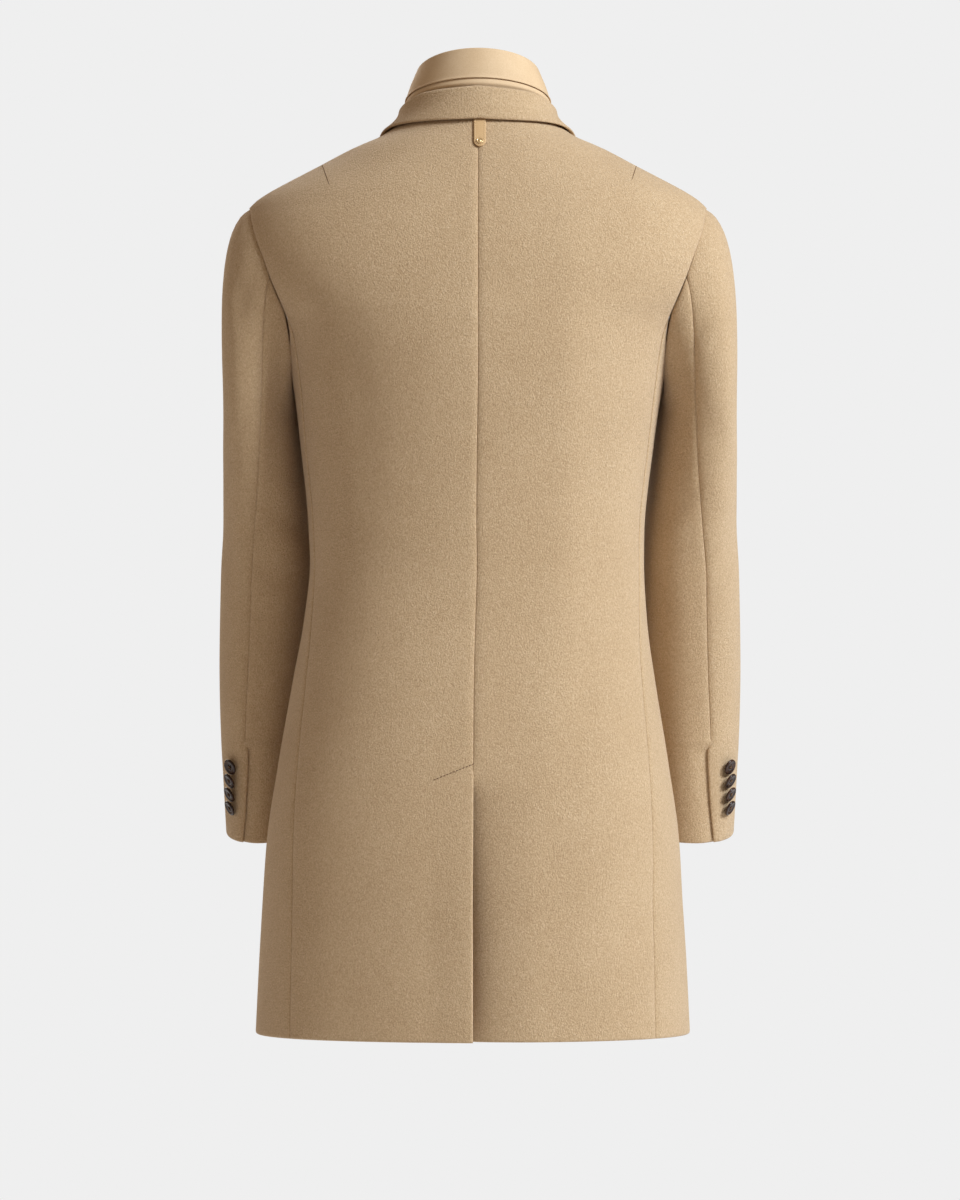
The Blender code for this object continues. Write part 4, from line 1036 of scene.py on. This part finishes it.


# Tab and stud at the back of the neck, the sewing that shows, and dark lines painted as the shade in the back
# darts' grooves

tab = {
    "width": 0.0118, "thick": 0.0015, "top": -0.0030, "foot": -0.0359, "x": 0.0003, "step": 0.0012,
    "edgeRadius": 0.0006, "groove": 0.00025, "grooveWidth": 0.0004,     # pressed in by the stitches
    "stitchInset": 0.0015, "stitchLength": 0.0016, "stitchGap": 0.0008, "stitchRadius": 0.00028,
    "studHeight": -0.0308, "studRadius": 0.0035, "studThick": 0.0012,
}


def tabSurface(x, z, out):
    deep = (torso["backY"](z) - torso["frontY"](z)) / 2
    return onTorso(z, np.arctan2(x - torso["shift"](z), deep), out)


def addTab():
    half = tab["width"] / 2
    z = np.unique(np.concatenate([
        np.linspace(tab["foot"] + half, tab["top"], 18),
        tab["foot"] + half * (1 - np.sin(np.radians(np.linspace(0, 88, 16)))),
    ]))
    width = np.sqrt(half**2 - np.maximum(tab["foot"] + half - z, 0) ** 2)
    across = placesAlong([tab["width"]], tab["step"])[0] / half - 1
    x = tab["x"] + width[:, None] * across
    zGrid = z[:, None] + 0 * x
    points, normals = tabSurface(x, zGrid, cloth["gap"] + tab["thick"])
    side = (1 - np.abs(across))[None, :] * width[:, None]
    edge = np.minimum(side, zGrid - tab["foot"])
    groove = tab["groove"] * np.exp(-((edge - tab["stitchInset"]) / tab["grooveWidth"]) ** 2)
    addCloth("tabLeather", points - normals * groove[..., None], normals, [
        (side, tab["edgeRadius"], 0),
    ], leatherFinish, ["tab"], thick=tab["thick"])


def tubeMesh(name, lines, radius, sides=6):     # round threads along short lines of points
    points, faces = [], []
    for line in lines:
        line = np.asarray(line, float)
        along = unit(np.gradient(line, axis=0))
        side = unit(np.cross(along, np.array([0.13, 0.92, 0.36])))      # no thread runs this way
        other = np.cross(along, side)
        ends = np.linspace(-0.96, 0.96, len(line))
        girth = radius * np.sqrt(np.clip(1 - ends**6, 0.05, 1))      # narrows at both ends
        turn = np.linspace(0, 2 * math.pi, sides, endpoint=False)[None, :, None]
        spoke = side[:, None] * np.cos(turn) + other[:, None] * np.sin(turn)
        rings = line[:, None] + girth[:, None, None] * spoke
        base = len(points)
        points += rings.reshape(-1, 3).tolist()
        for i in range(len(line) - 1):
            for j in range(sides):
                k = (j + 1) % sides
                faces.append([base + i * sides + j, base + i * sides + k,
                              base + (i + 1) * sides + k, base + (i + 1) * sides + j])
        faces.append([base + j for j in reversed(range(sides))])
        faces.append([base + (len(line) - 1) * sides + j for j in range(sides)])
    made = bpy.data.meshes.new(name)
    made.from_pydata(points, [], faces)
    made.update()
    made.shade_smooth()
    return made


def stitchRun(start, end, length, gap, surface, lift, dive=0.0003):
    # separate stitches between two points given as x and height, each end diving into the cloth
    start, end = np.array(start), np.array(end)
    total = np.linalg.norm(end - start)
    lines = []
    for first in np.arange(0, total - length, length + gap):
        share = (first + np.linspace(0, 1, 5) * length) / total
        spots = start + (end - start) * share[:, None]
        arch = lift - dive * (2 * np.linspace(0, 1, 5) - 1) ** 2
        lines.append(surface(spots[:, 0], spots[:, 1], arch)[0])
    return lines


def addTabStitches():
    half = tab["width"] / 2 - tab["stitchInset"]
    low = tab["foot"] + tab["width"] / 2
    lines = []
    lift = cloth["gap"] + tab["thick"] + 0.0001
    for side in (1, -1):
        lines += stitchRun((tab["x"] + side * half, -0.0060), (tab["x"] + side * half, low),
                           tab["stitchLength"], tab["stitchGap"], tabSurface, lift)
    for first in np.radians(np.arange(4, 165, 25)):
        turn = first + np.radians(np.linspace(0, 17, 5))
        lines.append(tabSurface(tab["x"] + half * np.cos(turn), low - half * np.sin(turn), lift)[0])
    addPiece(tubeMesh("tabStitches", lines, tab["stitchRadius"]), "tabStitches", paleThread)


def turned(name, profile, sides, place, outward, material, nodes, dips=()):
    # a turned piece, its axis along outward; dips are holes: x, y, radius, depth
    radii, heights = np.array(profile, float).T
    turn = np.linspace(0, 2 * math.pi, sides, endpoint=False)
    x, y = radii[:, None] * np.cos(turn), radii[:, None] * np.sin(turn)
    z = heights[:, None] + 0 * x
    for cx, cy, radius, depth in dips:
        front = np.arange(len(radii))[:, None] > len(radii) // 4
        z = z - depth * (1 - ease(np.hypot(x - cx, y - cy), radius * 0.72, radius * 1.08)) * front
    rings = np.stack([x, y, z], axis=-1)[1:-1]
    points = [(0, 0, heights[0])] + rings.reshape(-1, 3).tolist() + [(0, 0, heights[-1])]
    count, last = len(rings), len(points) - 1
    faces = [[0, 1 + (j + 1) % sides, 1 + j] for j in range(sides)]
    for i in range(count - 1):
        for j in range(sides):
            a, b = 1 + i * sides + j, 1 + i * sides + (j + 1) % sides
            faces.append([a, b, b + sides, a + sides])
    top = 1 + (count - 1) * sides
    faces += [[last, top + j, top + (j + 1) % sides] for j in range(sides)]
    made = bpy.data.meshes.new(name)
    made.from_pydata(points, [], faces)
    made.update()
    turnTo = Vector((0, 0, 1)).rotation_difference(Vector(outward)).to_matrix().to_4x4()
    made.transform(Matrix.Translation(Vector(place)) @ turnTo)
    made.shade_smooth()
    addPiece(made, name, material, nodes)


studShape = (       # shares of the radius and the thickness, from the middle of its back
    (0, 0), (0.8, 0), (0.97, 0.15), (1, 0.4), (0.95, 0.75), (0.82, 0.9),
    (0.68, 0.72), (0.58, 0.5), (0.48, 0.62), (0.34, 0.92), (0.16, 1), (0, 1.02),
)


def sizedProfile(shape, radius, thick):
    return [(radius * across, thick * up) for across, up in shape]


def addStud():
    point, normal = tabSurface(tab["x"], tab["studHeight"], cloth["gap"] + tab["thick"])
    profile = sizedProfile(studShape, tab["studRadius"], tab["studThick"])
    turned("tabStud", profile, 40, point, normal, studFinish, ["tab_stud"])


ventTack = {
    "start": (0.0055, -0.6430), "end": (0.0465, -0.6595),       # x, z
    "length": 0.0024, "gap": 0.0010, "radius": 0.00042, "lift": 0.0002,
}
# The darts are drawn as dark thread sunk almost flush. They are real seam lines, but their darkness is
# painted shade standing in for the shade in each dart's groove.
darts = {
    "left": ((0.1590, -0.0445), (0.1487, -0.0735)),
    "right": ((-0.1570, -0.0465), (-0.1500, -0.0680)),
    "radius": 0.0005, "sunk": 0.00028,
}


def angleAcross(z, x):
    return angleAtShare(z, (x - torso["shift"](z)) / torso["halfWidth"](z))


def backSurface(x, z, out):         # the back at this x and real height
    ringZ = np.asarray(z, float).copy()
    for _ in range(6):              # a ring lies lower at its sides, so its level is searched for
        angle = angleAcross(ringZ, x)
        ringZ = ringZ + z - onTorso(ringZ, angle)[0][..., 2]
    return onTorso(ringZ, angle, out)


def keelSurface(x, z, out):         # the left half beside the vent
    height = backSurface(x, z, out)[0][..., 2]
    return backSurface(x, z, np.asarray(out) + ventKeel(height, angleAcross(height, x)))


def addBackSewingAndDartShade():
    lines = stitchRun(ventTack["start"], ventTack["end"], ventTack["length"], ventTack["gap"],
                      keelSurface, ventTack["lift"])
    tack = addPiece(tubeMesh("ventTack", lines, ventTack["radius"]), "ventTack", threadFinish)
    # dark thread lines along the darts: painted shade for the darts' grooves
    lines = []
    for side in ("left", "right"):
        start, end = (np.array(p) for p in darts[side])
        share = np.linspace(0, 1, 24)[:, None]
        spots = start + (end - start) * share
        lines.append(backSurface(spots[:, 0], spots[:, 1], 0 * share[:, 0] - darts["sunk"])[0])
    dartShade = addPiece(tubeMesh("dartSeamShadeLines", lines, darts["radius"], 8), "dartSeamShadeLines", threadFinish)
    return tack, dartShade


# Horn buttons, four on each cuff and three on the front

buttons = {
    "cuffRadius": 0.0082, "cuffThick": 0.0028, "cuffTop": -0.6510, "pitch": 0.0139, "cuffX": 0.2497,
    "frontRadius": 0.0120, "frontThick": 0.0036, "frontHeights": (-0.365, -0.475, -0.585),
    "drops": (12, 21, 21, 21), "turns": (4, 14, 14, 14),    # degrees downwards and outwards
    "lifts": (0.0008, 0.0001, 0.0002, -0.0005),     # what the thread adds to each one's height
    "frontOut": 0.0007,
    "holeShare": 0.13, "holeOut": 0.24, "holeDepth": 0.45,      # shares of the radius and the thickness
    "threadShare": 0.055,
    "shape": (      # a raised rim round a dished middle, close enough to cut the holes into
        (0, 0), (0.50, 0), (0.80, 0), (0.93, 0.14), (0.99, 0.34), (1, 0.50), (0.985, 0.70),
        (0.945, 0.88), (0.88, 0.98), (0.80, 1), (0.72, 0.95), (0.65, 0.85), (0.58, 0.76), (0.52, 0.72),
        (0.47, 0.705), (0.43, 0.70), (0.39, 0.70), (0.35, 0.695), (0.31, 0.69), (0.27, 0.69),
        (0.23, 0.685), (0.19, 0.685), (0.15, 0.68), (0.11, 0.68), (0.06, 0.68), (0, 0.68),
    ),
}


def addButton(name, node, radius, thick, place, outward, spin):
    holes = [(buttons["holeOut"] * radius * math.cos(a), buttons["holeOut"] * radius * math.sin(a),
              buttons["holeShare"] * radius, thick * buttons["holeDepth"])
             for a in (spin + math.pi / 4 + k * math.pi / 2 for k in range(4))]
    profile = sizedProfile(buttons["shape"], radius, thick)
    turned(name, profile, 56, place, outward, hornFinish, [node], holes)
    turnTo = Vector((0, 0, 1)).rotation_difference(Vector(outward)).to_matrix()
    lines = []
    for first, second in ((0, 2), (1, 3)):
        a, b = (np.array([*holes[k][:2], thick * 0.5]) for k in (first, second))
        share = np.linspace(0, 1, 9)[:, None]
        arch = np.array([0, 0, 1.0]) * thick * (0.38 * np.sin(math.pi * share) ** 0.5 + 0.05 * first)
        lines.append([Vector(place) + turnTo @ Vector(p) for p in a + (b - a) * share + arch])
    stitches = tubeMesh(name + "Thread", lines, radius * buttons["threadShare"])
    addPiece(stitches, name + "Thread", threadFinish)


def addButtons():
    bpy.context.view_layer.update()
    for suffix, side in (("Left", 1), ("Right", -1)):
        sleevePiece = sleevePieces["upper" + suffix]
        for i in range(4):
            z = buttons["cuffTop"] - i * buttons["pitch"]
            _, place, normal, _ = sleevePiece.ray_cast(
                Vector((side * buttons["cuffX"], 0.2, z)), Vector((0, -1, 0)))
            turn, drop = math.radians(buttons["turns"][i]), math.radians(buttons["drops"][i])
            aside = side * Vector((normal.y, -normal.x, 0))
            outward = (normal + math.tan(turn) * aside - math.tan(drop) * Vector((0, 0, 1))).normalized()
            tipped = buttons["cuffRadius"] * math.sin(math.hypot(turn, drop))
            place = place + normal * (cloth["gap"] + tipped + buttons["lifts"][i])
            addButton(f"cuffButton{suffix}{i + 1}", f"cuff_button_{suffix.lower()}_{i + 1}",
                      buttons["cuffRadius"], buttons["cuffThick"], place, outward, 0.3 + 0.5 * i)
    for i, z in enumerate(buttons["frontHeights"]):
        point, normal = onTorso(z, math.pi, buttons["frontOut"])
        addButton(f"frontButton{i + 1}", f"front_button_{i + 1}", buttons["frontRadius"],
                  buttons["frontThick"], point, normal, 0.2 + 0.4 * i)


addTab()
addTabStitches()
addStud()
tackPiece, dartShadePiece = addBackSewingAndDartShade()
addButtons()
print("trims made")
# Studio: a pale floor, soft lights and the camera

studio = {
    "grey": "#efefef", "glow": "#ffe6cc", "ambient": 0.30, "floorHeight": -1.45, "floorRadius": 3.1,
    "distance": 6.0, "middle": -0.483, "frameHeight": 1.2, "sensor": 36,
    "lights": (     # name, place, size, watts, colour
        ("key", (-3.4, 2.1, 2.2), 1.6, 332, "#ebf6ff"),
        ("rimLeft", (2.8, -0.6, 0.7), 1.4, 5, "#fdf8f2"),
        ("front", (1.2, -3.4, 1.4), 2.2, 60, "#fffaf4"),
    ),
}


def addFloor():
    mesh = bmesh.new()
    bmesh.ops.create_circle(mesh, cap_ends=True, radius=studio["floorRadius"], segments=96)
    made = bpy.data.meshes.new("floor")
    mesh.to_mesh(made)
    mesh.free()
    floor = bpy.data.objects.new("floor", made)
    floor.location = (0, 0, studio["floorHeight"])
    bpy.context.scene.collection.objects.link(floor)
    material, tree = newMaterial("paintedFloor")        # matt paint that fades into the backdrop
    place = addNode(tree, "ShaderNodeTexCoord", {})
    reach = addNode(tree, "ShaderNodeMapping", {"Scale": (1 / studio["floorRadius"],) * 3},
                    {0: place.outputs["Object"]})
    fade = addNode(tree, "ShaderNodeTexGradient", {"gradient_type": "SPHERICAL"}, {0: reach.outputs[0]})
    blend = addNode(tree, "ShaderNodeMapRange", {1: 0.0, 2: 0.6, 3: 0.0, 4: 1.0}, {0: fade.outputs["Fac"]})
    grit = addNode(tree, "ShaderNodeTexNoise", {"Scale": 60.0}, {0: place.outputs["Object"]})
    bump = addNode(tree, "ShaderNodeBump", {"Strength": 0.1, "Distance": 0.001},
                   {"Height": grit.outputs["Fac"]})
    paint = addNode(tree, "ShaderNodeBsdfPrincipled", {
        "Base Color": linear(studio["grey"]), "Roughness": 0.9,
    }, {"Normal": bump.outputs[0]})
    glow = addNode(tree, "ShaderNodeEmission", {"Color": linear(studio["grey"]), "Strength": 1.0})
    both = addNode(tree, "ShaderNodeMixShader", {},
                   {0: blend.outputs[0], 1: glow.outputs[0], 2: paint.outputs[0]})
    addNode(tree, "ShaderNodeOutputMaterial", {}, {0: both.outputs[0]})
    made.materials.append(material)


def addWorld():
    world = bpy.data.worlds.new("studio")
    world.use_nodes = True
    tree = world.node_tree
    tree.nodes.clear()
    seen = addNode(tree, "ShaderNodeBackground", {"Color": linear(studio["grey"]), "Strength": 1.0})
    glow = addNode(tree, "ShaderNodeBackground", {
        "Color": linear(studio["glow"]), "Strength": studio["ambient"],
    })
    rays = addNode(tree, "ShaderNodeLightPath", {})
    both = addNode(tree, "ShaderNodeMixShader", {},
                   {0: rays.outputs["Is Camera Ray"], 1: glow.outputs[0], 2: seen.outputs[0]})
    addNode(tree, "ShaderNodeOutputWorld", {}, {0: both.outputs[0]})
    bpy.context.scene.world = world


def addLights():
    for name, place, size, watts, colour in studio["lights"]:
        light = bpy.data.lights.new(name, "AREA")
        light.size, light.energy, light.color = size, watts, linear(colour)[:3]
        lamp = bpy.data.objects.new(name, light)
        lamp.location = place
        aim = Vector((0, 0, studio["middle"])) - lamp.location
        lamp.rotation_euler = aim.to_track_quat("-Z", "Y").to_euler()
        bpy.context.scene.collection.objects.link(lamp)


def addCamera():
    lens = bpy.data.cameras.new("camera")
    lens.sensor_width = studio["sensor"]
    lens.lens = studio["sensor"] * studio["distance"] / studio["frameHeight"]
    lens.clip_end = 10 * studio["distance"]
    camera = bpy.data.objects.new("camera", lens)
    camera.location = (0, studio["distance"], studio["middle"])
    camera.rotation_euler = (math.pi / 2, 0, math.pi)
    bpy.context.scene.collection.objects.link(camera)
    bpy.context.scene.camera = camera


addFloor()
addWorld()
addLights()
addCamera()
bpy.context.scene.view_settings.view_transform = "Standard"
print("studio made")
